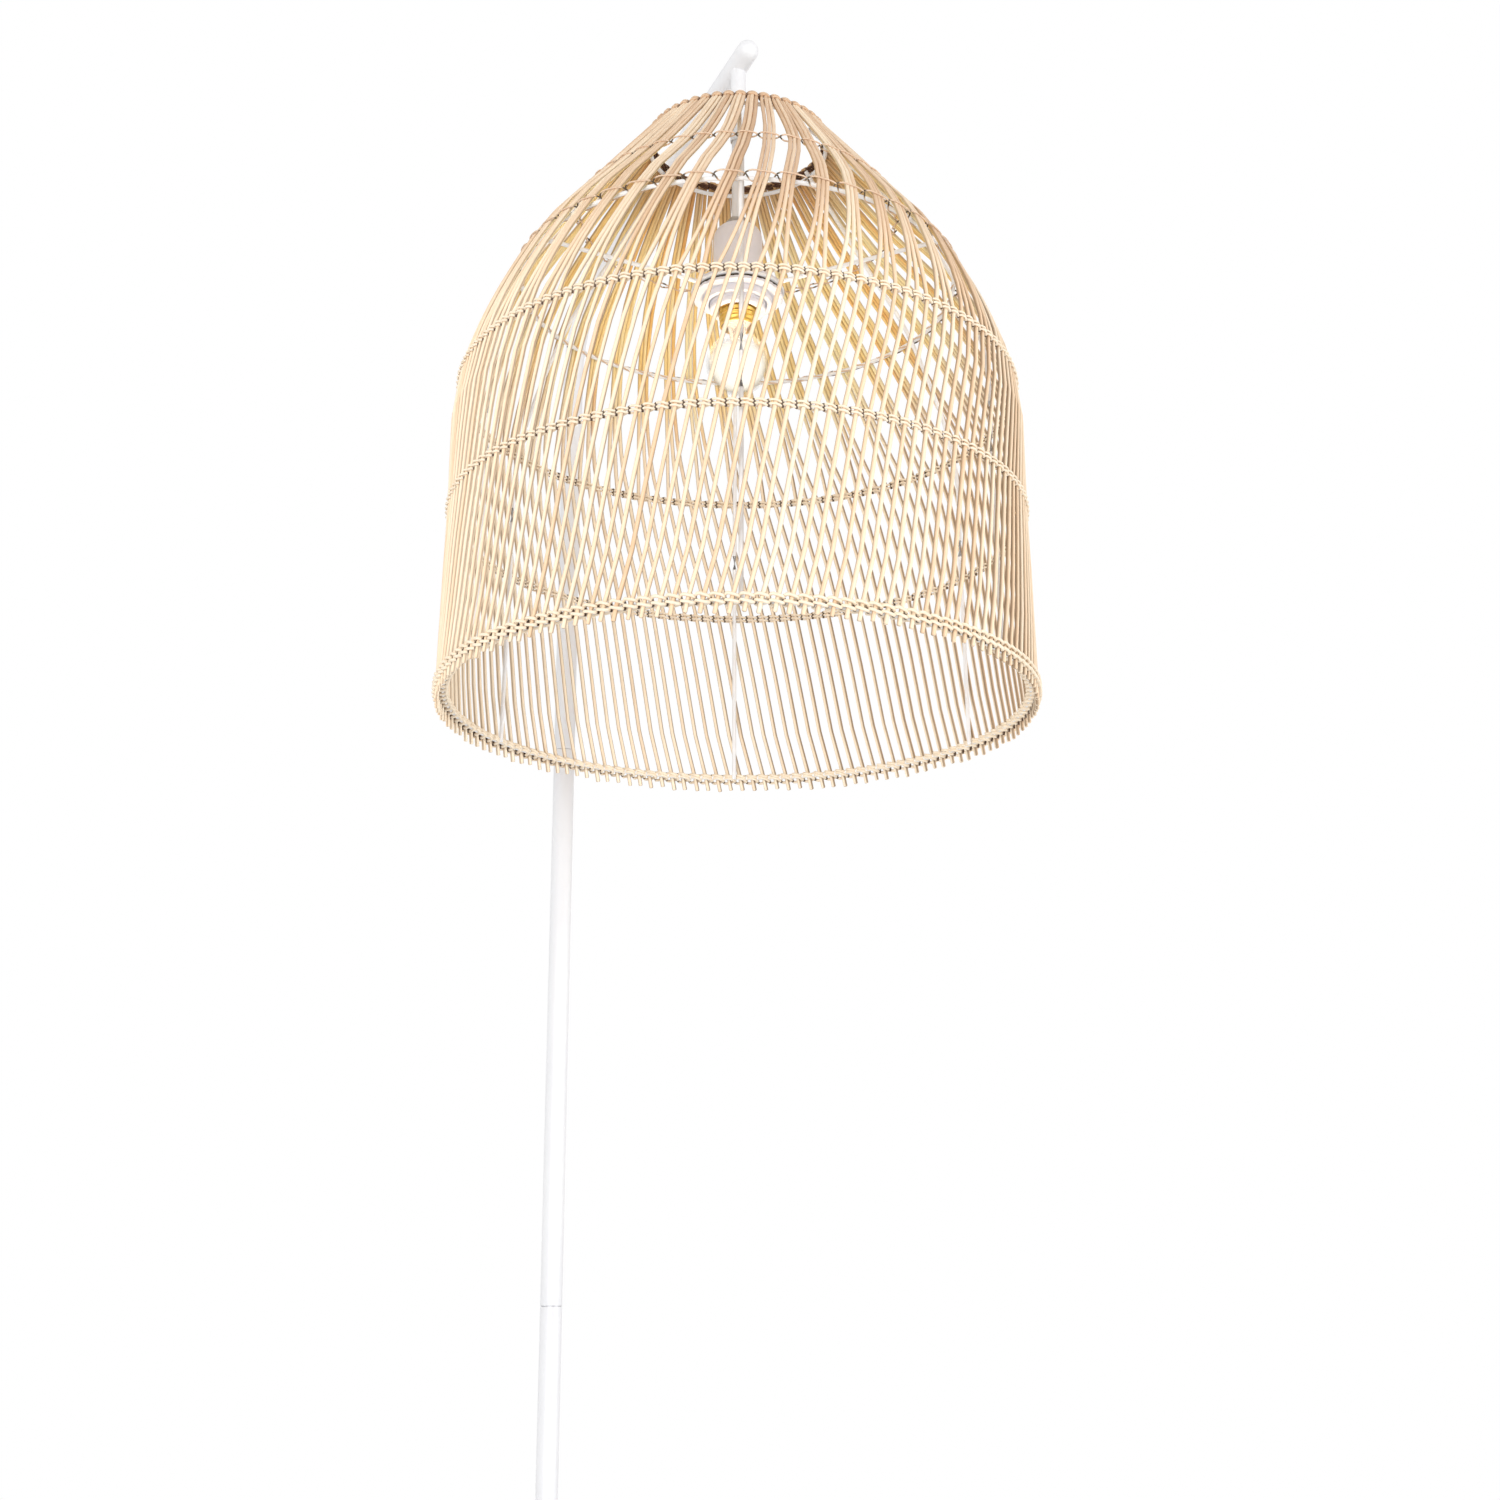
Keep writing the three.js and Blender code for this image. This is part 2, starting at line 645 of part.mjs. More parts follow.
// The woven wall, one body: ribbons of rods that lean round the shade, held by twined bands. Its
// levels run from the rods' tails to their stubs, two at each band's edges.
function wovenWall() {
  const levels = [{ place: 0, run: -twine_height / 2 - rod_tail, banded: false }];
  for (let band = 0; band <= last_band; band += 1) {
    levels.push({ place: band, run: -twine_height / 2, banded: true });
    levels.push({ place: band, run: twine_height / 2, banded: false });
    if (band === last_band) continue;
    for (let i = 1; i < open_row_counts[band]; i += 1) {
      levels.push({ place: band + i / open_row_counts[band], run: 0, banded: false });
    }
  }
  levels.push({ place: last_band, run: twine_height / 2 + rod_stub, banded: false });

  const columns = 2 * ribbon_count;
  const positions = [];
  for (const { place, run } of levels) {
    for (const depth of [-rod_diameter / 2, rod_diameter / 2]) {
      const radius = wallPlace(place, 0, run).x;
      const { x, y } = wallPlace(place, depth, run);
      const pitch = (2 * Math.PI * radius) / ribbon_count;
      const width = Math.min(rods_per_ribbon * rod_diameter, ribbon_fill_share * pitch);
      for (let column = 0; column < columns; column += 1) {
        const side = column % 2 === 0 ? -1 : 1;
        const middle = (Math.floor(column / 2) / ribbon_count) * 2 * Math.PI + wallTwist(place);
        const angle = middle + (side * width) / (2 * radius);
        positions.push(x * Math.cos(angle), x * Math.sin(angle), y);
      }
    }
  }

  const rows = levels.length - 1;
  const solid = (row, column) => row >= 0 && row < rows
    && (levels[row].banded || column % 2 === 0);
  const corner = (level, column, inner) => (
    (2 * level + (inner ? 1 : 0)) * columns + ((column + columns) % columns));
  const triangles = [];
  const quad = (a, b, c, d) => triangles.push(a, b, c, a, c, d);
  for (let row = 0; row < rows; row += 1) {
    for (let column = 0; column < columns; column += 1) {
      if (!solid(row, column)) continue;
      const places = [[row, column], [row, column + 1], [row + 1, column + 1], [row + 1, column]];
      const [a, b, c, d] = places.map(([level, side]) => corner(level, side, false));
      const [e, f, g, h] = places.map(([level, side]) => corner(level, side, true));
      quad(a, b, c, d);
      quad(h, g, f, e);
      if (!solid(row - 1, column)) quad(e, f, b, a);
      if (!solid(row + 1, column)) quad(d, c, g, h);
      if (!solid(row, (column + 1) % columns)) quad(c, b, f, g);
      if (!solid(row, (column + columns - 1) % columns)) quad(a, d, h, e);
    }
  }
  const geometry = new THREE.BufferGeometry();
  geometry.setAttribute('position', new THREE.Float32BufferAttribute(positions, 3));
  geometry.setIndex(triangles);
  return closedBody(geometry);
}

// A wire up the inside of the shade's wall at one azimuth, from the mouth's hoop to the top's
function uprightWire(angle) {
  const stations = [];
  const steps = 2 * last_band;
  for (let i = 0; i <= steps; i += 1) {
    const place = (i / steps) * last_band;
    const run = i === 0 ? -wire_diameter / 2 : i === steps ? wire_diameter / 2 : 0;
    const { x, y } = wallPlace(place, upright_depth, run);
    const { along } = wallPoint(place);
    stations.push({
      point: new THREE.Vector3(x * Math.cos(angle), x * Math.sin(angle), y),
      along: new THREE.Vector3(along.x * Math.cos(angle), along.x * Math.sin(angle), along.y),
    });
  }
  return sweptTube(stations, wire_diameter / 2, 0, sides_wire);
}

function makeShade() {
  const shade = new THREE.Group();
  shade.position.set(reach, 0, rim_height);
  lamp.add(shade);
  addPiece('rattan_weave', wovenWall(), rattan, shade);

  for (const [name, band] of Object.entries(bands_below_hoop_count)) {
    const { x, y } = wallPlace(band, hoop_depth, -hoop_drop[name]);
    const wire = closedBody(new THREE.TorusGeometry(x, wire_diameter / 2, sides_wire, sides_hoop));
    addPiece(name, wire, white_paint, shade).position.z = y;
  }
  for (let i = 0; i < upright_count; i += 1) {
    const degrees = upright_turn_degrees + (i * 360) / upright_count;
    addPiece(`upright_${i + 1}`, uprightWire(THREE.MathUtils.degToRad(degrees)), white_paint, shade);
  }

  const ring_radius = ring_flange_diameter / 2 + spider_ring_margin;
  addPiece('spider_ring', squareRing(
    ring_bore_radius, ring_radius, spider_height - spider_ring_thickness, spider_height,
    sides_turned), white_paint, shade);
  const far = wallPlace(
    bands_below_hoop_count.shoulder_hoop, upright_depth + wire_diameter / 2 + 2 * clearance);
  const ring_middle = spider_height - spider_ring_thickness / 2;
  for (let i = 0; i < spider_arm_count; i += 1) {
    const angle = THREE.MathUtils.degToRad(upright_turn_degrees + (i * 360) / spider_arm_count);
    const way = new THREE.Vector3(Math.cos(angle), Math.sin(angle), 0);
    const start = way.clone().multiplyScalar(ring_radius + clearance).setZ(ring_middle);
    const end = way.clone().multiplyScalar(far.x - wire_diameter / 2).setZ(far.y);
    addPiece(`spider_arm_${i + 1}`, sweptTube(
      straightStations(start, end), wire_diameter / 2, 0, sides_wire), white_paint, shade);
  }
}

makeBase();
makePole();
const hung = makeCrook();
makeLampholder(hung);
makeBulb(hung);
makeShade();

export default lamp;
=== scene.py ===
# %% [markdown]
# # A rattan floor lamp
#
# The lamp is a woven dome of rattan rods, hung over its bulb from the crook of a slim white pole.
# A solid model of it exists already, with a body for each part that moves. This lesson dresses
# that model: it puts a finer surface over nearly every solid that shows, and a finish on all of
# them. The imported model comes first, because every new surface is placed by its sizes.

# %% Load the solid model
import math

import bmesh
import bpy
import numpy as np
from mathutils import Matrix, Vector


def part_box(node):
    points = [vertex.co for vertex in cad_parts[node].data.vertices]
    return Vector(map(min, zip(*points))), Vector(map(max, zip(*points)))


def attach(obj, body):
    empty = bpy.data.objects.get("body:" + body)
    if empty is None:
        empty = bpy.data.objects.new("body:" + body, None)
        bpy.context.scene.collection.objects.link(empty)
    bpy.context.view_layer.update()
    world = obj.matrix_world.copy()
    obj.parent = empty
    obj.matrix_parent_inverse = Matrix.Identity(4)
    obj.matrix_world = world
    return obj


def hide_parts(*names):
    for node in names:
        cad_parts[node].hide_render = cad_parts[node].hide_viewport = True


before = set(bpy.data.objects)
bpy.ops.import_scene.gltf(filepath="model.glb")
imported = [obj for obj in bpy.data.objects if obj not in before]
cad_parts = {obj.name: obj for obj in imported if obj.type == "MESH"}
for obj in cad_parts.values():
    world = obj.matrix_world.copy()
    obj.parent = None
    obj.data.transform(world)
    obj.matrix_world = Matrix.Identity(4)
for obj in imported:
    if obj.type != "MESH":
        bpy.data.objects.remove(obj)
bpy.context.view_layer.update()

# %% [markdown]
# ## The camera
#
# The lamp is seen from a little below the shade, with a lens somewhat longer than a normal one. A
# Track To constraint could aim the camera, but a place, a bearing and a pitch need no second
# object.

# %% Place the camera
camera_place = Vector((1.538, -0.704, 0.7895))
camera_bearing = Vector((-0.8704, 0.4924, 0))
camera_pitch = math.radians(16.15)
camera_lens = 54.06


def add_object(name, data):
    """Puts a new object with this data into the scene."""
    added = bpy.data.objects.new(name, data)
    bpy.context.collection.objects.link(added)
    return added


camera = add_object("camera", bpy.data.cameras.new("camera"))
camera.data.lens = camera_lens
camera.location = camera_place
aim = camera_bearing * math.cos(camera_pitch) + Vector((0, 0, math.sin(camera_pitch)))
camera.rotation_euler = aim.to_track_quat("-Z", "Y").to_euler()
bpy.context.scene.camera = camera
print("camera looks along", [round(value, 3) for value in aim])

# %% [markdown]
# ## Turning arrays into meshes
#
# Two kinds of surface make nearly all of this lamp: a profile turned about an axis, and a circle
# carried along a path. Blender's Screw modifier and bevelled curves make both, but worked out as
# whole arrays they can carry more, such as how far along its rod each point lies, which the
# rattan's grain follows. All lengths are in millimetres until a mesh is made.

# %% Levels of a solid, and faces of a grid of points
mm = 0.001


def levels(node):
    """The lowest and the highest level of a node's solid, in millimetres."""
    return [corner.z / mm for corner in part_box(node)]


def grid_faces(copies, rows, sides, closed):
    """Faces of copies x rows x sides points. Each joins a point to the next side and the next row,
    the last side meets the first, and in a closed grid the last row meets the first too."""
    index = np.arange(copies * rows * sides).reshape(copies, rows, sides)
    here = index if closed else index[:, :-1]
    above = np.roll(index, -1, axis=1) if closed else index[:, 1:]
    corners = [here, np.roll(here, -1, axis=2), np.roll(above, -1, axis=2), above]
    return np.stack(corners, axis=-1).reshape(-1, 4)


# %% A mesh from grids of points
def grid_mesh(name, grids):
    """Makes a mesh from grids, each a dictionary of points, whether its rows are closed, and
    values that it keeps for each point. Points in one place become one, so a ring with no radius
    becomes a pole, and then all faces are turned outwards."""
    points, faces, first = [], [], 0
    for grid in grids:
        points.append(grid["points"].reshape(-1, 3))
        faces.append(first + grid_faces(*grid["points"].shape[:3], grid["closed"]))
        first += len(points[-1])
    mesh = bpy.data.meshes.new(name)
    mesh.from_pydata(np.concatenate(points) * mm, [], np.concatenate(faces).tolist())
    shared = set.intersection(*(set(grid.get("values", {})) for grid in grids))
    for key in sorted(shared):
        values = [grid["values"][key] for grid in grids]
        values = np.concatenate([value.reshape(-1, *value.shape[3:]) for value in values])
        is_vector = values.ndim == 2
        layer = mesh.attributes.new(key, "FLOAT_VECTOR" if is_vector else "FLOAT", "POINT")
        layer.data.foreach_set("vector" if is_vector else "value", values.ravel())
    shell = bmesh.new()
    shell.from_mesh(mesh)
    bmesh.ops.remove_doubles(shell, verts=shell.verts, dist=1e-6)
    bmesh.ops.recalc_face_normals(shell, faces=shell.faces)
    shell.to_mesh(mesh)
    shell.free()
    return mesh


# %% A piece of the lamp
def make_piece(name, grids, finish, body, nodes, sharp_degrees=35):
    """Makes one object from grids, with a finish, on a body, in place of nodes."""
    mesh = grid_mesh(name, grids)
    mesh.shade_smooth()
    mesh.set_sharp_from_angle(angle=math.radians(sharp_degrees))
    piece = add_object(name, mesh)
    mesh.materials.append(finish.material)
    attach(piece, body)
    if nodes:
        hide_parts(*nodes)
    print(f"{name}: {len(mesh.vertices)} points, {len(mesh.polygons)} faces")
    return piece


# %% A circle carried along a path
def unit(vectors):
    """Each vector divided by its length."""
    return vectors / np.linalg.norm(vectors, axis=-1, keepdims=True)


def tube(path, radius, sides, outward, closed=False):
    """A round bar along copies x rows points. At each, two directions are square to the path: one
    nearest to outward, and one across both. A point of the circle lies radius times cosine across
    and sine outward from the path. An open bar's ends lose their edge and close in the middle."""
    path = np.asarray(path, float)
    if closed:
        along = unit(np.roll(path, -1, axis=1) - np.roll(path, 1, axis=1))
    else:
        along = unit(np.gradient(path, axis=1))
    across = unit(np.cross(along, np.broadcast_to(outward, path.shape)))
    upward = np.cross(across, along)
    angle = np.arange(sides) * 2 * np.pi / sides
    circle = (np.cos(angle)[:, None] * across[..., None, :]
              + np.sin(angle)[:, None] * upward[..., None, :])
    size = np.broadcast_to(np.asarray(radius, float), path.shape[:2])[..., None, None]
    points = path[..., None, :] + size * circle
    steps = np.linalg.norm(np.diff(path, axis=1), axis=-1)
    far = np.concatenate([np.zeros_like(steps[:, :1]), np.cumsum(steps, axis=1)], axis=1)
    grain = np.stack(np.broadcast_arrays(
        size[..., 0] * np.cos(angle), size[..., 0] * np.sin(angle), far[..., None]), axis=-1)
    if not closed:
        edge_share = 0.25
        edge = edge_share * size * along[..., None, :]
        points[:, 0] += edge[:, 0]
        points[:, -1] -= edge[:, -1]
        start, stop = ([path[:, end, None] + share * size[:, end] * circle[:, end]
                        for share in (0, 1 - edge_share)] for end in (slice(1), slice(-1, None)))
        points = np.concatenate([*start, points, *stop[::-1]], axis=1)
        grain = np.pad(grain, ((0, 0), (2, 2), (0, 0), (0, 0)), mode="edge")
    return {"points": points, "closed": closed, "values": {"grain": grain}}


# %% A profile turned about an axis
def lathe(profile, sides=64, place=(0, 0, 0), axis=(0, 0, 1), closed=False):
    """Turns rows of [radius, height] about an axis through a place: each point is the place, plus
    height along the axis, plus radius times cosine and sine along two directions square to it."""
    profile = np.asarray(profile, float)
    axis = np.asarray(axis, float)
    first = unit(np.cross((0, 1, 0), axis))
    second = np.cross(axis, first)
    angle = np.arange(sides) * 2 * np.pi / sides
    circle = np.cos(angle)[:, None] * first + np.sin(angle)[:, None] * second
    radius, height = profile[:, 0, None, None], profile[:, 1, None, None]
    points = np.asarray(place, float) + height * axis + radius * circle
    return {"points": points[None], "closed": closed}


# %% Rounding the corners of a profile
def rounded(profile, radius, closed=False, steps=4):
    """Each corner gives way to a quadratic Bezier curve that leaves and rejoins the edges at the
    radius from the corner, or at 0.45 of a shorter edge. An open profile keeps its two ends."""
    corner = np.asarray(profile, float)

    def joint(neighbour):
        """Where the curve meets the edge that runs to a neighbour."""
        edge = neighbour - corner
        length = np.linalg.norm(edge, axis=1, keepdims=True)
        return corner + edge / length * np.minimum(radius, 0.45 * length)

    start, end = joint(np.roll(corner, 1, axis=0)), joint(np.roll(corner, -1, axis=0))
    t = np.linspace(0, 1, steps + 1)[:, None, None]
    curve = ((1 - t) ** 2 * start + 2 * t * (1 - t) * corner + t ** 2 * end).transpose(1, 0, 2)
    if closed:
        return curve.reshape(-1, 2)
    return np.concatenate([corner[:1], curve[1:-1].reshape(-1, 2), corner[-1:]])


def quarter(radius, height, width, rise, steps=12):
    """A quarter of an ellipse as [radius, height], from its side to its top: width times cosine
    further out, and rise times sine higher up."""
    angle = np.linspace(0, np.pi / 2, steps)
    return np.stack([radius + width * np.cos(angle), height + rise * np.sin(angle)], axis=1)


def pipe(bore, radius, low, high, softness, sides, place=(0, 0, 0), steps=4):
    """A hollow cylinder: the four corners of its wall, rounded and turned."""
    corners = [[bore, low], [radius, low], [radius, high], [bore, high]]
    return lathe(rounded(corners, softness, True, steps), sides, place, closed=True)


# %% [markdown]
# ## Writing shader maths
#
# A finish is a network of nodes, and one written node by node is hard to read. A small class wraps
# a socket, so that sums on values can be written as sums, and each adds its Math node. One method
# makes every other kind of node. The detail of a finish goes into its colour, roughness and bump.

# %% A socket that can be written in sums
class Value:
    """One output of a node in a finish. Python's signs on it add Math nodes."""

    def __init__(self, finish, socket):
        self.finish = finish
        self.socket = socket

    def math(self, operation, first, second):
        """A Math node on two values."""
        settings = {"operation": operation}
        return self.finish.node("ShaderNodeMath", settings, {0: first, 1: second})

    def __add__(self, other):
        return self.math("ADD", self, other)

    __radd__ = __add__

    def __mul__(self, other):
        return self.math("MULTIPLY", self, other)

    __rmul__ = __mul__

    def __sub__(self, other):
        return self.math("SUBTRACT", self, other)

    def __rsub__(self, other):
        return self.math("SUBTRACT", other, self)


# %% A finish
def colour(red, green, blue):
    """Turns a screen colour, 0 to 255, into the light values that a shader uses: a straight part
    below 0.04045 of full, and above it the power 2.4 of (share + 0.055) / 1.055."""
    share = np.array([red, green, blue]) / 255
    curved = np.where(share <= 0.04045, share / 12.92, ((share + 0.055) / 1.055) ** 2.4)
    return (*curved.tolist(), 1)


class Finish:
    """A material with one Principled shader, and short ways to add nodes that feed it."""

    def __init__(self, name, **sockets):
        self.material = bpy.data.materials.new(name)
        self.material.use_nodes = True
        self.tree = self.material.node_tree
        self.shader = self.tree.nodes["Principled BSDF"]
        self.set(self.shader, sockets)

    def set(self, node, sockets):
        """Links each socket to a Value, or gives it a constant."""
        for key, value in sockets.items():
            socket = node.inputs[key.replace("_", " ") if isinstance(key, str) else key]
            if isinstance(value, Value):
                self.tree.links.new(value.socket, socket)
            else:
                socket.default_value = value

    def feed(self, **sockets):
        """Links or sets sockets of the material's own shader."""
        self.set(self.shader, sockets)

    def node(self, kind, settings, sockets, output=0):
        """Any node: its settings, such as an operation or a ramp's stops, and then its inputs."""
        node = self.tree.nodes.new(kind)
        for key, value in settings.items():
            if key == "stops":
                for place, shade in value[1:-1]:
                    node.color_ramp.elements.new(place).color = shade
                for element, (place, shade) in zip(node.color_ramp.elements, value):
                    element.position, element.color = place, shade
            else:
                setattr(node, key, value)
        self.set(node, sockets)
        return Value(self, node.outputs[output])

    def place(self):
        """A point in the piece's own space."""
        return self.node("ShaderNodeTexCoord", {}, {}, output=3)

    def attribute(self, name, output=2):
        """What the mesh keeps at its points: a number, or a vector by output 1."""
        return self.node("ShaderNodeAttribute", {"attribute_name": name}, {}, output)

    def part(self, vector, axis):
        """A vector's part along axis 0, 1 or 2."""
        return self.node("ShaderNodeSeparateXYZ", {}, {0: vector}, axis)

    def stretched(self, vector, factors):
        """Each part of a vector times its own factor."""
        sockets = {0: vector, 1: factors}
        return self.node("ShaderNodeVectorMath", {"operation": "MULTIPLY"}, sockets)

    def noise(self, vector, scale, detail=2, roughness=0.5):
        """A soft cloud of values round 0.5."""
        sockets = {"Vector": vector, "Scale": scale, "Detail": detail, "Roughness": roughness}
        return self.node("ShaderNodeTexNoise", {}, sockets)

    def ramp(self, value, *stops):
        """A colour between stops, each a value and its colour."""
        return self.node("ShaderNodeValToRGB", {"stops": stops}, {0: value})

    def mask(self, value, low, high):
        """0 below low, 1 above high, and a smooth step between."""
        settings = {"interpolation_type": "SMOOTHSTEP"}
        return self.node("ShaderNodeMapRange", settings, {0: value, 1: low, 2: high})

    def mix(self, factor, first, second):
        """The first colour where the factor is 0, and the second where it is 1."""
        sockets = {0: factor, 6: first, 7: second}
        return self.node("ShaderNodeMix", {"data_type": "RGBA"}, sockets, output=2)

    def bump(self, height, distance, strength):
        """Relief that only the light sees, of a distance in metres."""
        sockets = {"Height": height, "Distance": distance, "Strength": strength}
        self.feed(Normal=self.node("ShaderNodeBump", {}, sockets))


# %% [markdown]
# ## Finishes of the metal and moulded parts
#
# The pole is powder coated: a white skin with the faint pimples of orange peel, which come from a
# fine noise as bump. The shade's wires are painted whiter still, as painted light on wires that sit
# in the dome's shade. The lampholder is pale plastic, and the bulb's screw cap is thin brass. Each
# could be one flat colour, but a real part is never quite even, so a slow noise shifts its colour
# and its roughness a little.

# %% White powder coat
paint = Finish("white_powder_coat", Specular_IOR_Level=0.5)
mottle = paint.noise(paint.place(), 9, detail=3)
paint.feed(
    Base_Color=paint.ramp(mottle, (0.3, colour(222, 222, 225)), (0.7, colour(229, 229, 230))),
    Roughness=paint.noise(paint.place(), 40) * 0.16 + 0.33)
paint.bump(paint.noise(paint.place(), 1100, detail=1), 0.00006, 0.5)

# %% Wires of the shade, painted whiter as painted light
lit_wire_coat = Finish("lit_white_wire_coat", Specular_IOR_Level=0.4)
mottle = lit_wire_coat.noise(lit_wire_coat.place(), 60, detail=3)
# Painted light: a whiter white than the pole's, for wires that sit in the dome's shade.
lit_wire_coat.feed(
    Base_Color=lit_wire_coat.ramp(mottle, (0.3, colour(238, 238, 240)), (0.7, colour(246, 246, 247))),
    Roughness=mottle * 0.2 + 0.4)
lit_wire_coat.bump(lit_wire_coat.noise(lit_wire_coat.place(), 1600, detail=1), 0.00004, 0.5)

# %% Pale plastic of the lampholder
plastic = Finish("pale_plastic", Specular_IOR_Level=0.5)
cloud = plastic.noise(plastic.place(), 60, detail=3)
plastic.feed(
    Base_Color=plastic.ramp(cloud, (0.3, colour(219, 216, 222)), (0.7, colour(228, 225, 230))),
    Roughness=cloud * 0.15 + 0.32)
plastic.bump(plastic.noise(plastic.place(), 2200, detail=1), 0.00003, 0.4)

# %% Brass of the bulb's cap
brass = Finish("cap_brass", Metallic=0.95)
tarnish = brass.noise(brass.place(), 160, detail=4, roughness=0.6)
brass.feed(
    Base_Color=brass.ramp(tarnish, (0.3, colour(196, 152, 62)), (0.68, colour(240, 205, 116))),
    Roughness=tarnish * 0.25 + 0.18)
brass.bump(brass.noise(brass.stretched(brass.place(), (1, 1, 8)), 900, detail=1), 0.00002, 0.4)


# %% Finishes of what is held inside or out of sight
def plain_finish(name, low, high, scale, roughness, metallic=0, bump_mm=0.02):
    """A finish that a noise moves between two colours, with a roughness that follows it and a
    bump of a stated height."""
    finish = Finish(name, Metallic=metallic)
    grain = finish.noise(finish.place(), scale, detail=4, roughness=0.6)
    finish.feed(Base_Color=finish.ramp(grain, (0.3, colour(*low)), (0.7, colour(*high))),
                Roughness=grain * 0.16 + (roughness - 0.08))
    finish.bump(finish.noise(finish.place(), scale * 4, detail=2), bump_mm * mm, 0.6)
    return finish


zinc = plain_finish("zinc_plate", (168, 172, 178), (202, 205, 208), 220, 0.34, metallic=1)
black = plain_finish("black_plastic", (24, 24, 25), (38, 38, 39), 300, 0.5)
ceramic = plain_finish("porcelain", (228, 225, 214), (241, 239, 231), 90, 0.24, bump_mm=0.01)
# Painted shadow: the washer's fibre is near black, standing for the shade in the narrow gap under
# the shade's fitting.
fibre = plain_finish("washer_gap_shadow_fibre", (58, 50, 42), (78, 68, 58), 700, 0.8, bump_mm=0.05)
felt = plain_finish("grey_felt", (62, 62, 64), (96, 96, 98), 1400, 0.94, bump_mm=0.3)
print("finishes so far:", len(bpy.data.materials))

# %% [markdown]
# ## Finish of the rattan
# Rattan core is a cane with long pores, so its colour runs in streaks along each rod, and no two
# rods match. The streaks need a coordinate that follows the rod: the tube function stores one, as
# the place across the rod and the distance along it. Squeezing the distance stretches a noise into
# fibres, and one number for each rod tints it between honey and cream. Masks of height and side
# then paint light and shade into that colour. Both edges of each rod get a painted shade, and one
# side of each leaning rod a darker painted shadow, mostly inside. The upper weave is painted darker
# as shade, the inner face there is painted amber as the bulb's warm light, with a painted brown
# shade at the very top, and lower down that face is painted pale as the bulb's light.

# %% Rattan rods
cane = Finish("rattan_rod", Specular_IOR_Level=0.35)
grain = cane.attribute("grain", output=1)
fibres = cane.noise(cane.stretched(grain, (1, 1, 0.05)), 1.6, detail=4, roughness=0.65)
patches = cane.noise(cane.stretched(grain, (0.2, 0.2, 0.02)), 1.0, detail=2)
tone = fibres * 0.45 + patches * 0.25 + cane.attribute("tint") * 0.4
skin_colour = cane.ramp(tone, (0.3, colour(232, 195, 156)), (0.5, colour(250, 222, 189)),
                        (0.75, colour(255, 238, 212)))
cane.bump(fibres, 0.00025, 0.6)

# %% Painted light and shade of the rods
weave_low, weave_high = (corner.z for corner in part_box("rattan_weave"))


def weave_level(share):
    """A height on the weave: a share of the way from its foot to its top."""
    return weave_low * (1 - share) + weave_high * share


sideways, out_of_wall, up = cane.part(grain, 0), cane.part(grain, 1), cane.part(cane.place(), 2)
above = cane.mask(up, weave_level(0.55), weave_level(0.74))
# Painted shade: above about half its height the weave's colour is darker, where less light falls.
top_shade_colour = cane.ramp(tone, (0.34, colour(186, 148, 114)), (0.52, colour(216, 182, 149)),
                     (0.74, colour(242, 222, 194)))
top_shaded = cane.mix(above * 0.75, skin_colour, top_shade_colour)
# Painted light: the upper inner face is amber, as lit by the warm bulb, and near the very top it
# falls to a painted brown shade.
bulb_lit_amber = cane.ramp(tone, (0.3, colour(244, 178, 94)), (0.48, colour(254, 218, 140)),
                  (0.7, colour(255, 240, 188)))
near_top = cane.mask(up, weave_level(0.86), weave_high)
bulb_lit_amber = cane.mix(near_top * 0.65, bulb_lit_amber, colour(186, 126, 82))
bulb_lit_inside = above * cane.mask(0.5 - out_of_wall, 0, 1)
toned = cane.mix(bulb_lit_inside * 0.9, top_shaded, bulb_lit_amber)
# Painted light: lower down, the inner face is paler, as lit by the bulb.
inner = cane.mask(0.2 - out_of_wall, 0, 1)
pale = cane.mix(inner * (1 - above) * 0.5, toned, colour(255, 243, 220))
# Painted shade: a darker line down one side of each rod, stronger on the inner face and weaker
# higher up.
shade_side_mask = cane.mask(0 - sideways, 0, 1.1) * (inner * 0.7 + 0.2) * (1 - above * 0.6)
side_shaded = cane.mix(shade_side_mask, pale, colour(144, 118, 92))
# Painted shade: both edges of each rod are darker, where the round rod turns from the light, and
# less so where it touches a neighbour in a ribbon.
shaded_edges = cane.mask(cane.attribute("open_side"), 0.72, 1)
cane.feed(Base_Color=cane.mix(shaded_edges * 0.6, side_shaded, colour(136, 106, 78)),
          Roughness=fibres * 0.25 + 0.42)
print("rattan finish uses", len(cane.tree.nodes), "nodes")


# %% Twine between the rods
def twine_finish(name, hidden_colour, deep, pale, hidden_range):
    """A strand's colour comes from fibres along it, and falls to a dark one where the strand hides
    from the light: in the gap between two rods, or all along its inner side."""
    finish = Finish(name, Specular_IOR_Level=0.25)
    grain = finish.attribute("grain", output=1)
    fibres = finish.noise(finish.stretched(grain, (1, 1, 0.12)), 2.2, detail=3, roughness=0.6)
    strand = finish.ramp(fibres, (0.32, colour(*deep)), (0.68, colour(*pale)))
    dark = finish.mask(finish.attribute("hidden"), *hidden_range)
    finish.feed(Base_Color=finish.mix(dark, strand, colour(*hidden_colour)),
                Roughness=fibres * 0.2 + 0.6)
    finish.bump(fibres, 0.0002, 0.7)
    return finish


twine = twine_finish("pale_twine", (84, 62, 50), (240, 219, 190), (253, 241, 222), (0.66, 0.92))
thread = twine_finish("thin_twine", (92, 78, 62), (208, 176, 148), (234, 208, 182), (0.35, 0.8))
binding = twine_finish("top_twine", (92, 62, 46), (196, 158, 124), (232, 204, 174), (0.08, 0.4))

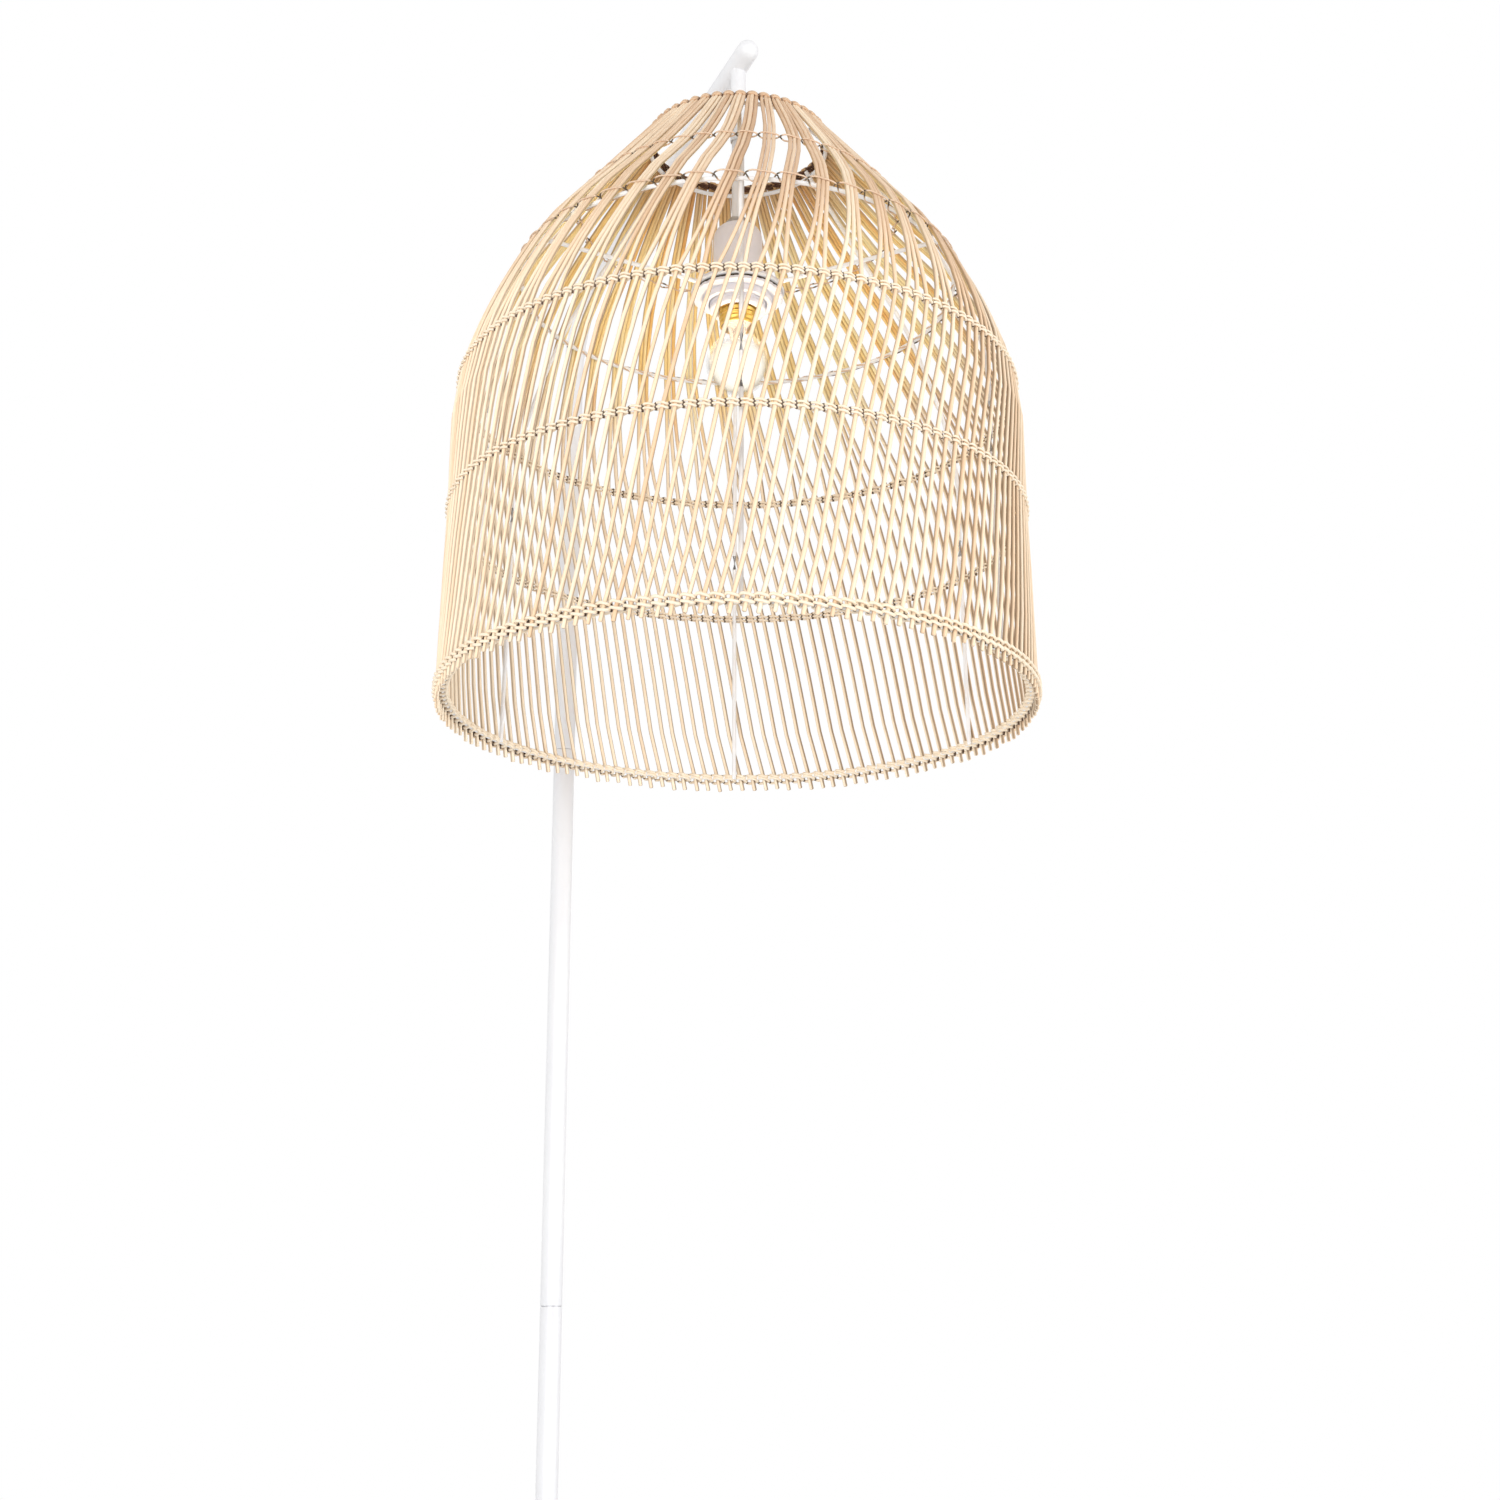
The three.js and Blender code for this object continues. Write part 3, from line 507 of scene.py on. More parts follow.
# %% [markdown]
# ## The shade's wall
#
# The dome is a surface of revolution, whose outline is a smooth curve through six bands, from the
# wide mouth to the narrow top. A lathe could turn it, but rods, hoops and twine each follow it in
# their own way. So one function of the place, counted in bands, draws everything on the shade.

# %% Sizes of the shade
reach = 276
fitting_top = 304  # above the mouth
rim_height = levels("spider_ring")[1] - fitting_top
shade_axis = (reach, 0, rim_height)
rim_radius = 200
shade_height = 421
band_radius_shares = [1, 0.983, 0.962, 0.78, 0.57, 0.322]
band_height_shares = [0, 0.302, 0.523, 0.729, 0.857, 1]
band_twist_degrees = [0, 7.5, 14.5, 21.5, 26.5, 32.5]
bands = np.arange(6)
shoulder_band, last_band = bands[3], bands[-1]
rod_diameter = 3
rod_count = 144
ribbon_count = 48
wire_radius = 1.5
hoop_gap = 0.9
hoop_depth = rod_diameter / 2 + hoop_gap + wire_radius
print("the mouth is", round(rim_height, 1), "mm above the floor")


# %% A place on the wall
def wall(place, depth, run=0):
    """The outline through the bands as a Catmull-Rom curve: between two bands it is a cubic whose
    slope at each is half the step from the band before to the band after. Pushed in by a depth,
    square to the curve, and run on along it by a length. Gives [radius, height] and the slope."""
    knots = np.stack([np.multiply(band_radius_shares, rim_radius),
                      np.multiply(band_height_shares, shade_height)], axis=1)
    held = np.clip(np.asarray(place, float), 0, last_band)
    i = np.minimum(held.astype(int), last_band - 1)
    w = (held - i)[..., None]
    before, here = knots[np.maximum(i - 1, 0)], knots[i]
    after, beyond = knots[i + 1], knots[np.minimum(i + 2, last_band)]
    leave, meet = (after - before) / 2, (beyond - here) / 2
    cubic = 2 * here - 2 * after + leave + meet
    square = -3 * here + 3 * after - 2 * leave - meet
    point = cubic * w ** 3 + square * w ** 2 + leave * w + here
    along = unit(3 * cubic * w ** 2 + 2 * square * w + leave)
    inward = np.stack([-along[..., 1], along[..., 0]], axis=-1)
    depth, run = np.asarray(depth, float)[..., None], np.asarray(run, float)[..., None]
    return point + depth * inward + run * along, along


def out_from_axis(angle):
    """The level direction at an angle: cosine along X and sine along Y."""
    return np.stack([np.cos(angle), np.sin(angle), np.zeros_like(angle)], axis=-1)


def on_shade(angle, spot):
    """Turns [radius, height] to a point: the middle of the mouth, plus radius times the direction
    at the angle, plus height."""
    return shade_axis + spot[..., :1] * out_from_axis(angle) + spot[..., 1:] * (0, 0, 1)


def wall_twist(place):
    """How far round the rods have leaned at a place, in radians, in straight shares between the
    bands."""
    return np.radians(np.interp(place, bands, band_twist_degrees))


# %% [markdown]
# ## The rattan rods
#
# 144 rods stand evenly round the mouth. Higher up they are gathered in threes, and run as flat
# ribbons to the top, leaning to one side all the way. An Array modifier could repeat one rod, but
# real rods wander, differ in thickness and end unevenly. So all the rods are one array, with a
# little seeded chance in each rod and each ribbon. The gathering is a blend between two spacings,
# quick above the third band and slower as the rods meet. A rod's angle is its ribbon's, plus the
# lean so far, plus the spacing to its side of the ribbon, plus its wander over the radius.

# %% Stations and ends of every rod
steps_per_band = (3, 3, 6, 3, 4)
foot_overhang, foot_unevenness = 9, 1.1
top_overhang, ribbon_unevenness, rod_unevenness = 4.3, 0.9, 0.4
chance = np.random.default_rng(7)
stretches = [np.linspace(i, i + 1, steps + 1)[1:] for i, steps in enumerate(steps_per_band)]
place = np.concatenate([[0, 0], *stretches, [last_band]])
order = np.arange(rod_count)
in_ribbon = order // 3
side = (order % 3 - 1)[:, None]
ribbon = in_ribbon[:, None] * 2 * np.pi / ribbon_count
run = np.zeros((rod_count, len(place)))
run[:, 0] = -foot_overhang + chance.uniform(-foot_unevenness, foot_unevenness, rod_count)
run[:, -1] = (top_overhang
              + chance.uniform(-ribbon_unevenness, ribbon_unevenness, ribbon_count)[in_ribbon]
              + chance.uniform(-rod_unevenness, rod_unevenness, rod_count))

# %% Path of every rod
fullest_share = 0.31  # the most of a ribbon's pitch that one of its three rods takes
gather_from, gather_length = 2, 0.85
rod_wander, rod_wander_shares = 0.28, [1, 1, 1, 0.4, 0.4, 0.4]
ribbon_wander = [0, 0, 0, 0.9, 0.9, 0.3]
push_from, push_out = 3.6, 0.7  # near the top each ribbon's middle rod is pushed out
spot, _ = wall(np.broadcast_to(place, run.shape), 0, run)
spread = np.radians(360 / rod_count)
pitch = 2 * np.pi * spot[..., 0] / ribbon_count
touching = np.minimum(rod_diameter, fullest_share * pitch) / spot[..., 0]
gathered = 1 - (1 - np.clip((place - gather_from) / gather_length, 0, 1)) ** 2
drift = chance.normal(0, rod_wander, (rod_count, len(bands))) * rod_wander_shares
drift += chance.normal(0, 1, (ribbon_count, len(bands)))[in_ribbon] * ribbon_wander
sway = np.stack([np.interp(place, bands, row) for row in drift])
turn = (ribbon + wall_twist(place) + side * (spread + (touching - spread) * gathered)
        + sway / spot[..., 0])
lean_past_rim = np.radians(band_twist_degrees[1]) / (band_height_shares[1] * shade_height)
turn[:, 0] += run[:, 0] * lean_past_rim
squeeze = push_out * np.clip(place - push_from, 0, 1) * (side == 0)
spot, _ = wall(np.broadcast_to(place, run.shape), -squeeze, run)
print("rods leave the mouth every", round(2 * np.pi * rim_radius / rod_count, 1), "mm")

# %% Rods with their tint
thinnest_share, thickest_share = 0.9, 1.06
grain_shift = 900
smooth_edge = 80  # degrees
rod_radius = rod_diameter / 2 * chance.uniform(thinnest_share, thickest_share, (rod_count, 1))
rods = tube(on_shade(turn, spot), rod_radius, 8, out_from_axis(turn))
grain = rods["values"]["grain"]
grain[..., 2] += chance.uniform(0, grain_shift, (rod_count, 1, 1))
tint = 0.6 * chance.uniform(0, 1, rod_count) + 0.4 * chance.uniform(0, 1, ribbon_count)[in_ribbon]
rods["values"]["tint"] = np.broadcast_to(tint[:, None, None], grain.shape[:3])
# How far towards an edge each point of a rod lies, for the painted shade along the rods' edges;
# weaker where rods in a ribbon touch.
across = unit(grain[..., :2])[..., 0]
closed_up = np.pad(gathered, 2, mode="edge")
met = np.abs(across) - np.clip(side[..., None] * across, 0, 1)
rods["values"]["open_side"] = np.abs(across) - 0.15 * met * closed_up[:, None]
make_piece("rattan_rods", [rods], cane, "shade", ["rattan_weave"], smooth_edge)

# %% [markdown]
# ## Twined rows
#
# The rods are held by pair twining: two strands run round the shade, one passing outside a rod
# while the other passes inside it, and they change over between each rod and the next. So a strand
# is a wave, and the other is half a wave behind. On the ribbons the wave is flat over each
# ribbon's three rods and steep between them. Round the mouth and along the shoulder the strands
# also go behind the wire hoop, and so tie the weave to it.


# %% One row of twining
def twined_row(band, run, radius, lift, flatness, steps, behind=0, pull=0):
    """Two strands round the shade. Each goes in and out as the cosine of half a turn per rod or
    ribbon held, squared off by a hyperbolic tangent where flatness is high, and down and up as
    the sine, so that one passes over the other in every gap. An inward pass goes deeper by what
    it reaches behind, and a share of its run is pulled out of it, towards the band. A strand is
    hidden where it changes sides, or in the binding of the top where it runs inside."""
    wander = 0.1
    count = (rod_count if band < shoulder_band else ribbon_count) * steps
    phase = np.arange(count) * np.pi / steps + np.array([[0], [np.pi]])
    turn = np.broadcast_to(np.arange(count) * 2 * np.pi / count, phase.shape) + wall_twist(band)
    wave = np.cos(phase)
    if flatness:
        wave = np.tanh(flatness * wave) / np.tanh(flatness)
    reach_out = rod_diameter / 2 + radius
    away = wave * np.where(wave > 0, reach_out, reach_out + behind)
    inside = 0.5 - 0.5 * wave
    height = run * (1 - pull * inside) - lift * np.sin(phase)
    height += chance.normal(0, wander, phase.shape)
    spot, _ = wall(np.full(phase.shape, band), -away, height)
    row = tube(on_shade(turn, spot), radius, 6, (0, 0, 1), closed=True)
    hidden = inside if band == last_band else 1 - np.abs(wave)
    row["values"]["hidden"] = np.broadcast_to(hidden[..., None], row["points"].shape[:3])
    return row


around_wire = hoop_depth + wire_radius - rod_diameter / 2
rows = [twined_row(0, run, radius=1.05, lift=0.8, flatness=2.4, steps=8, behind=around_wire,
                   pull=0.6) for run in (-2.2, 2.2)]
rows += [twined_row(band, run, radius=0.78, lift=0.7, flatness=0, steps=4)
         for band in (1, 2) for run in (-1.3, 1.3)]
make_piece("twined_rows", rows, twine, "shade", (), smooth_edge)

# %% Thin twine on the ribbons, and the binding of the top
knots = [twined_row(band, 0, radius=0.55, lift=1.3, flatness=2.2, steps=10, behind=behind)
         for band, behind in ((shoulder_band, around_wire), (shoulder_band + 1, 0))]
make_piece("ribbon_twine", knots, thread, "shade", (), smooth_edge)
lashing = [twined_row(last_band, run, radius=0.95, lift=0.7, flatness=1, steps=10)
           for run in (0.6, 2.8)]
make_piece("top_binding", lashing, binding, "shade", (), smooth_edge)

# %% [markdown]
# ## The wire frame
#
# Under the weave is a frame of white coated wire: three hoops, six uprights and a fitting of three
# arms round a flat ring, spot welded together. They follow the same wall function, pushed in by
# the thickness of rod and wire. A small bead at each end of an arm stands for its weld.

# %% Hoops
circle_steps = 144
top_hoop_drop = 3
around = np.arange(circle_steps)[None] * 2 * np.pi / circle_steps
for name, band, run in (("mouth_hoop", 0, 0), ("shoulder_hoop", shoulder_band, 0),
                        ("top_hoop", last_band, -top_hoop_drop)):
    spot, _ = wall(np.full(around.shape, band), hoop_depth, run)
    hoop = tube(on_shade(around, spot), wire_radius, 10, (0, 0, 1), closed=True)
    make_piece(name + "_wire", [hoop], lit_wire_coat, "shade", [name])

# %% Uprights
upright_count = 6
first_upright_degrees = 31.5
wire_gap = 0.3
upright_depth = hoop_depth + 2 * wire_radius + wire_gap
upright_turn = np.radians(first_upright_degrees + 360 / upright_count * np.arange(upright_count))
place = np.linspace(0, last_band, 41)
run = np.zeros(place.shape)
run[0], run[-1] = -wire_radius, wire_radius
spot, _ = wall(place, upright_depth, run)
uprights = tube(on_shade(upright_turn[:, None], spot), wire_radius, 10, (0, 0, 1))
names = [f"upright_{i + 1}" for i in range(upright_count)]
make_piece("upright_wires", [uprights], lit_wire_coat, "shade", names)


# %% Ring and arms of the fitting
def bead(centre, radius):
    """A ball: from pole to pole, radius times sine out and radius times cosine up."""
    level = np.linspace(0, np.pi, 8)
    return lathe(np.stack([radius * np.sin(level), -radius * np.cos(level)], axis=1), 12, centre)


fitting_bore, fitting_radius, fitting_thickness = 20.3, 33, 2
arm_end_gap = 0.6
bead_radius, bead_shift = 2, 1.2
fitting = [pipe(fitting_bore, fitting_radius, fitting_top - fitting_thickness, fitting_top, 0.5,
                96, shade_axis)]
arm_end, _ = wall(shoulder_band, upright_depth + wire_radius + arm_end_gap)
arm_start = [fitting_radius + wire_gap, fitting_top - fitting_thickness / 2]
arm_spots = np.linspace(arm_start, arm_end - [wire_radius, 0], 9)
arm_turn = upright_turn[::2]
fitting.append(tube(on_shade(arm_turn[:, None], arm_spots), wire_radius, 10, (0, 0, 1)))
for angle in arm_turn:
    for spot in (arm_spots[0], arm_spots[-1] + [bead_shift, 0]):
        fitting.append(bead(on_shade(angle, spot), bead_radius))
arms = [f"spider_arm_{i + 1}" for i in range(len(arm_turn))]
make_piece("shade_fitting", fitting, lit_wire_coat, "shade", ["spider_ring", *arms])

# %% [markdown]
# ## The pole and the crook
#
# The pole is steel tube in sections that screw together. Their cut ends are slightly rounded,
# which catches the light and shows the seam at each joint. The crook is one tube, bent on a
# mandrel: a straight, an arc and a straight again. A hollow tube is a closed profile turned, or
# for the bend two tubes, and its ends stay open as they are in reality.

# %% Three straight tubes
tube_radius = 8
tube_bore = 6.8
for name in ("pole_lower", "pole_middle", "pole_upper"):
    shell = pipe(tube_bore, tube_radius, *levels(name), 0.45, 64, steps=3)
    make_piece(name + "_tube", [shell], paint, "stand", [name], sharp_degrees=50)

# %% The bent tube
slope_angle = math.radians(15)
bend_radius = 80
crook_straight = 318
arm_overhang = 14
foot_length, foot_loss = 0.4, 0.35
crook_low = levels("crook_tube")[0]
bend_low = crook_low + crook_straight
angle = np.linspace(0, math.pi / 2 - slope_angle, 33)
bend = np.stack([bend_radius * (1 - np.cos(angle)), 0 * angle,
                 bend_low + bend_radius * np.sin(angle)], axis=1)
arm_way = np.array([math.cos(slope_angle), 0, math.sin(slope_angle)])
arm_axis = bend[-1] + arm_way * (reach - bend[-1, 0]) / arm_way[0]
arm_stop = arm_axis + arm_way * arm_overhang
line = np.concatenate([[[0, 0, crook_low]], [[0, 0, crook_low + foot_length]], bend, [arm_stop]])
shrink = np.concatenate([[foot_loss], np.zeros(len(line) - 1)])
along = unit(np.gradient(line, axis=0))
across = np.broadcast_to((0, 1, 0), line.shape)
upward = np.cross(along, across)
turn = np.arange(64)[None, :, None] * 2 * np.pi / 64
ring = np.cos(turn) * across[:, None] + np.sin(turn) * upward[:, None]
outer = line[:, None] + (tube_radius - shrink)[:, None, None] * ring
inner = (line[:, None] + tube_bore * ring)[::-1]
crook = {"points": np.concatenate([outer, inner])[None], "closed": True}
make_piece("crook_bend", [crook], paint, "crook", ["crook_tube"], sharp_degrees=50)
print("the arm's axis is", round(arm_axis[2], 1), "mm up at the shade's axis")

# %% Cap of the arm, stem and nipple
plug_radius, plug_length = 6.5, 5
cap_gap, cap_edge = 0.02, 0.3
plug = [[0, -plug_length], [plug_radius, -plug_length], [plug_radius, cap_gap],
        [tube_radius, cap_gap]]
cap = np.concatenate([plug, quarter(0, cap_edge, tube_radius, tube_radius, 10)])
make_piece("arm_end_cap", [lathe(cap, 64, arm_stop, arm_way)], paint, "crook", ["arm_cap"])
holder_axis = (reach, 0, 0)
for name, node, bore, softness in (("stem_tube", "drop_stem", 4.8, 0.5),
                                   ("nipple_tube", "nipple", 3, 0.4)):
    low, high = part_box(node)
    radius = (high.y - low.y) / 2 / mm
    shell = pipe(bore, radius, low.z / mm, high.z / mm, softness, 48, holder_axis)
    make_piece(name, [shell], paint, "crook", [node])

# %% [markdown]
# ## The lampholder
#
# The holder is a smooth cover over a ribbed skirt, and two flat rings on the skirt grip the
# shade's fitting from above and below. All of it is turned work, so each part is a profile with
# its edges softened. A cosine of the angle takes shallow finger grips from the rings' edges.

# %% Cover
hole_radius, cover_wall = 4.8, 1.5
dome_width, dome_height = 11.2, 11
cover_radius = hole_radius + cover_wall + dome_width
low, high = levels("holder_cover")
outside = quarter(hole_radius + cover_wall, high - dome_height, dome_width, dome_height)
inside = quarter(hole_radius, high - dome_height, dome_width, dome_height - cover_wall)
foot = [[cover_radius - cover_wall, low], [cover_radius - 0.4, low], [cover_radius, low + 0.5]]
outline = np.concatenate([foot, outside, [[hole_radius, high]], inside[::-1]])
make_piece("cover_shell", [lathe(outline, 64, holder_axis, closed=True)], plastic, "crook",
           ["holder_cover"])

# %% Skirt
skirt_height = 29.6
skirt_root, rib_depth, rib_count = 19.2, 0.8, 7
skirt_bore, flare_radius, flare_height = 13.6, 15.3, 3
flare_edge, end_inset = 0.3, 0.4
neck_radius = 15.7
low, high = levels("holder_skirt")
skirt_top, end_radius = low + skirt_height, skirt_root - end_inset
height = np.linspace(low + end_inset, skirt_top - end_inset, 81)
phase = (height - low) / skirt_height * rib_count * 2 * np.pi
ribs = skirt_root + rib_depth * (0.5 - 0.5 * np.cos(phase)) ** 0.6
outline = np.concatenate([
    [[skirt_bore, low + flare_height], [flare_radius - flare_edge, low + flare_edge],
     [flare_radius, low], [end_radius, low]],
    np.stack([ribs, height], axis=1),
    [[end_radius, skirt_top], [neck_radius, skirt_top], [neck_radius, high], [skirt_bore, high]]])
make_piece("skirt_shell", [lathe(outline, 64, holder_axis, closed=True)], plastic, "crook",
           ["holder_skirt"])

# %% The two shade rings
ring_bore, ring_neck, flange_radius, flange_thickness = 20.3, 24, 32, 2.2
grip_count, grip_depth, grip_width = 30, 0.5, 1.5


def grip_ring(node, bottom_flange):
    """A flange and a neck, turned, with grips in the flange's edge: there the radius loses the
    grips' depth times a steep cosine of their count times the angle."""
    low, high = levels(node)
    face, end, way = (low, high, 1) if bottom_flange else (high, low, -1)
    back = face + way * flange_thickness
    outline = [[ring_bore, face], [flange_radius, face], [flange_radius, back], [ring_neck, back],
               [ring_neck, end], [ring_bore, end]]
    ring = lathe(rounded(outline, 0.6, closed=True), 240, holder_axis, closed=True)
    away = (ring["points"] - holder_axis) * [1, 1, 0]
    radius = np.linalg.norm(away, axis=-1, keepdims=True)
    angle = np.arctan2(away[..., 1:2], away[..., :1])
    at_edge = np.clip(radius - (flange_radius - grip_width), 0, 1)
    bite = grip_depth * np.clip(2 * np.cos(grip_count * angle), 0, 1) * at_edge
    ring["points"] -= away / radius * bite
    return ring


make_piece("upper_grip", [grip_ring("upper_ring", True)], plastic, "crook", ["upper_ring"])
make_piece("lower_grip", [grip_ring("lower_ring", False)], plastic, "ring", ["lower_ring"])

# %% [markdown]
# ## The bulb
#
# A clear globe on a brass screw cap. The cap's thread is a real helix: its radius is a wave of the
# height less the part of the lead that the angle has used. The lit bulb is brighter than a picture
# can hold, so its lower globe shows as a warm white glow and only the neck still looks like glass.
# Glass could be full refraction, but that stops the lamp's light in Cycles, so it is thin: mostly
# clear, and more solid where the eye meets it edge on.

# %% Screw cap
lead = 3.6
thread_root, thread_depth, fade_length = 12.5, 0.75, 3
cap_sides, cap_wall, crown_radius, contact_hole = 72, 0.6, 9, 4
low, high = levels("bulb_cap")
thread_low, thread_high = low + 1.5, high - 4
bore, ceiling = thread_root - cap_wall, high - cap_wall
height = np.linspace(thread_low, thread_high, 73)[:, None]
angle = np.arange(cap_sides)[None] * 2 * np.pi / cap_sides
wave = 0.5 + 0.5 * np.cos(2 * np.pi * height / lead - angle)
fade = np.clip(np.minimum(height - thread_low, thread_high - height) / fade_length, 0, 1)
radius = thread_root + thread_depth * wave * fade
skin = holder_axis + radius[..., None] * out_from_axis(angle) + height[..., None] * (0, 0, 1)
foot = [[thread_root + 0.05, low], [thread_root + 0.4, low + 0.4], [thread_root + 0.1, low + 0.9]]
crown = [[thread_root, thread_high], [11.6, high - 1.6], [crown_radius, high],
         [contact_hole, high], [contact_hole, ceiling], [bore, ceiling], [bore, low]]
foot, crown = (lathe(row, cap_sides, holder_axis)["points"][0] for row in (foot, crown))
cap = {"points": np.concatenate([foot, skin, crown])[None], "closed": True}
make_piece("screw_cap", [cap], brass, "bulb", ["bulb_cap"])

# %% Clear glass that glows below
globe_length, globe_radius = 51, 22.5
globe_middle = low - globe_length + globe_radius
glow_top, clear_from = globe_middle + 1, globe_middle + 16
glass = Finish("clear_glass", Roughness=0.03, Emission_Strength=1, Specular_IOR_Level=0.6)
up = glass.part(glass.place(), 2)
edge = glass.node("ShaderNodeLayerWeight", {}, {0: 0.5}, output=1)
lit_part = 1 - glass.mask(up, glow_top * mm, clear_from * mm)
glow = lit_part * (1 - glass.mask(edge, 0.2, 0.75))
glass.feed(
    Base_Color=glass.mix(lit_part, colour(222, 221, 226), colour(96, 90, 76)),
    Emission_Color=glass.mix(glow, (0, 0, 0, 1), (1, 0.96, 0.86, 1)),
    Alpha=glow * 0.9 + glass.mask(edge, 0.7, 1) * 0.22 + 0.05)

# %% Globe
neck = 11.6
glass_inset, glass_wall = 0.2, 0.8
seat_low, seat_top = low - 0.3, low + 4
neck_angle = math.asin(neck / globe_radius)


def globe_wall(radius, neck_radius):
    """A ball's wall from its lowest point up to the neck, radius times sine out and cosine down,
    and then the neck, straight up into the cap."""
    angle = np.linspace(0, np.pi - neck_angle, 40)
    ball = np.stack([radius * np.sin(angle), globe_middle - radius * np.cos(angle)], axis=1)
    return np.concatenate([ball, [[neck_radius, seat_low], [neck_radius, seat_top]]])


outer_radius = globe_radius - glass_inset
wall_line = np.concatenate([globe_wall(outer_radius, neck),
                            globe_wall(outer_radius - glass_wall, neck - glass_wall)[::-1]])
make_piece("glass_globe", [lathe(wall_line, 64, holder_axis)], glass, "bulb", ["bulb_glass"])

# %% Mount of the filaments
disc_radius, disc_near, disc_far, post = 7.5, 10.3, 11.3, 1.5
mount = np.array([[0, -disc_far], [disc_radius, -disc_far], [disc_radius, -disc_near],
                  [post, -disc_near], [post, disc_near], [disc_radius, disc_near],
                  [disc_radius, disc_far], [1.8, 11.6], [3.4, 16]]) + [0, globe_middle]
mount = np.concatenate([mount, [[7.2, seat_low], [9.8, seat_top], [0, seat_top]]])
support = Finish("mount_glass", Roughness=0.08, Specular_IOR_Level=0.6)
cloud = support.noise(support.place(), 200)
edge = support.node("ShaderNodeLayerWeight", {}, {0: 0.4}, output=1)
support.feed(
    Base_Color=support.ramp(cloud, (0.3, colour(226, 224, 226)), (0.7, colour(238, 236, 236))),
    Alpha=edge * 0.5 + 0.2)
make_piece("mount_stem", [lathe(rounded(mount, 0.4), 32, holder_axis)], support, "bulb",
           ["bulb_support"])

# %% Filaments
filament_count, filament_ring, filament_radius, filament_length = 4, 5.5, 0.9, 20
hot = Finish("hot_filament", Roughness=0.5, Emission_Strength=6)
flicker = hot.noise(hot.place(), 1500)
hot.feed(Base_Color=hot.ramp(flicker, (0.3, colour(255, 214, 140)), (0.7, colour(255, 232, 180))),
         Emission_Color=hot.ramp(flicker, (0.3, (1, 0.6, 0.22, 1)), (0.7, (1, 0.7, 0.34, 1))))
along = np.linspace(-0.5, 0.5, 5)[None, :, None] * (0, 0, filament_length)
for i in range(filament_count):
    angle = (i + 0.5) * 2 * np.pi / filament_count
    centre = np.array([0, 0, globe_middle]) + holder_axis + filament_ring * out_from_axis(angle)
    stick = tube(centre + along, filament_radius, 12, (1, 0, 0))
    make_piece(f"filament_rod_{i + 1}", [stick], hot, "bulb", [f"filament_{i + 1}"])

# %% [markdown]
# ## The base
#
# A round steel plate weights the lamp, with a collar that takes the pole and a grub screw that
# holds it. The plate's upper edge is rounded, and its felt pad is cut a little small, so it can't
# be seen from above. The small fasteners keep the solid model's own shapes, which are right as
# they are, and take a finish each.

# %% Plate and pad
base_radius, base_rounding, base_edge, pad_radius = 150, 3, 0.4, 145
bolt_hole, recess_radius, recess_depth = 4.3, 12.5, 4.5
low, high = levels("base_plate")
recess = low + recess_depth
foot = [[bolt_hole, recess], [recess_radius, recess], [recess_radius, low],
        [base_radius - base_edge, low], [base_radius, low + base_edge]]
rim = quarter(base_radius - base_rounding, high - base_rounding, base_rounding, base_rounding, 9)
outline = np.concatenate([foot, rim, [[bolt_hole, high]]])
make_piece("base_disc", [lathe(outline, 160, closed=True)], paint, "stand", ["base_plate"])
low, high = levels("felt_pad")
outline = rounded([[0, low], [pad_radius, low], [pad_radius, high], [0, high]], 0.6)
make_piece("felt_disc", [lathe(outline, 160)], felt, "stand", ["felt_pad"])


# %% Cut a round hole through one wall
def drill(piece, radius, height):
    """Takes a bar that points along -X at a height out of a piece, and closes the cut."""
    near, far = 0.5, 20
    side = [[0, near], [radius, near], [radius, far], [0, far]]
    bar = lathe(side, 40, (0, 0, height), (-1, 0, 0))
    tool = add_object("drill", grid_mesh("drill", [bar]))
    change = piece.modifiers.new("hole", "BOOLEAN")
    change.operation, change.solver, change.object = "DIFFERENCE", "EXACT", tool
    done = bpy.data.meshes.new_from_object(piece.evaluated_get(
        bpy.context.evaluated_depsgraph_get()))
    piece.modifiers.clear()
    piece.data = done
    done.set_sharp_from_angle(angle=math.radians(50))
    bpy.data.objects.remove(tool)
    print(f"{piece.name}: {len(done.polygons)} faces with its hole")


# %% Collar, and the pole's outlet
collar_radius, collar_bore, collar_floor = 15, 8.3, 4
screw_hole, screw_height = 2.8, 16
outlet_radius, cord_hole, grommet_radius, grommet_face = 5, 3.5, 6.5, 9.7
fit_gap = 0.3
low, high = levels("base_collar")
corners = [[bolt_hole, low], [collar_radius, low], [collar_radius, high], [collar_bore, high],
           [collar_bore, low + collar_floor], [bolt_hole, low + collar_floor]]
outline = rounded(corners, [[0.4], [0.4], [2.2], [0.5], [0.3], [0.3]], closed=True)
collar = make_piece("collar_sleeve", [lathe(outline, 64, closed=True)], paint, "stand",
                    ["base_collar"])
drill(collar, screw_hole, low + screw_height)
outlet_height = sum(levels("cord_grommet")) / 2
drill(bpy.data.objects["pole_lower_tube"], outlet_radius, outlet_height)
sleeve, shoulder = outlet_radius - fit_gap, tube_radius + fit_gap
corners = [[cord_hole, tube_bore], [sleeve, tube_bore], [sleeve, shoulder],
           [grommet_radius, shoulder], [grommet_radius, grommet_face], [cord_hole, grommet_face]]
grommet = lathe(rounded(corners, 0.5, closed=True), 48, (0, 0, outlet_height), (-1, 0, 0),
                closed=True)
make_piece("outlet_grommet", [grommet], black, "stand", ["cord_grommet"])

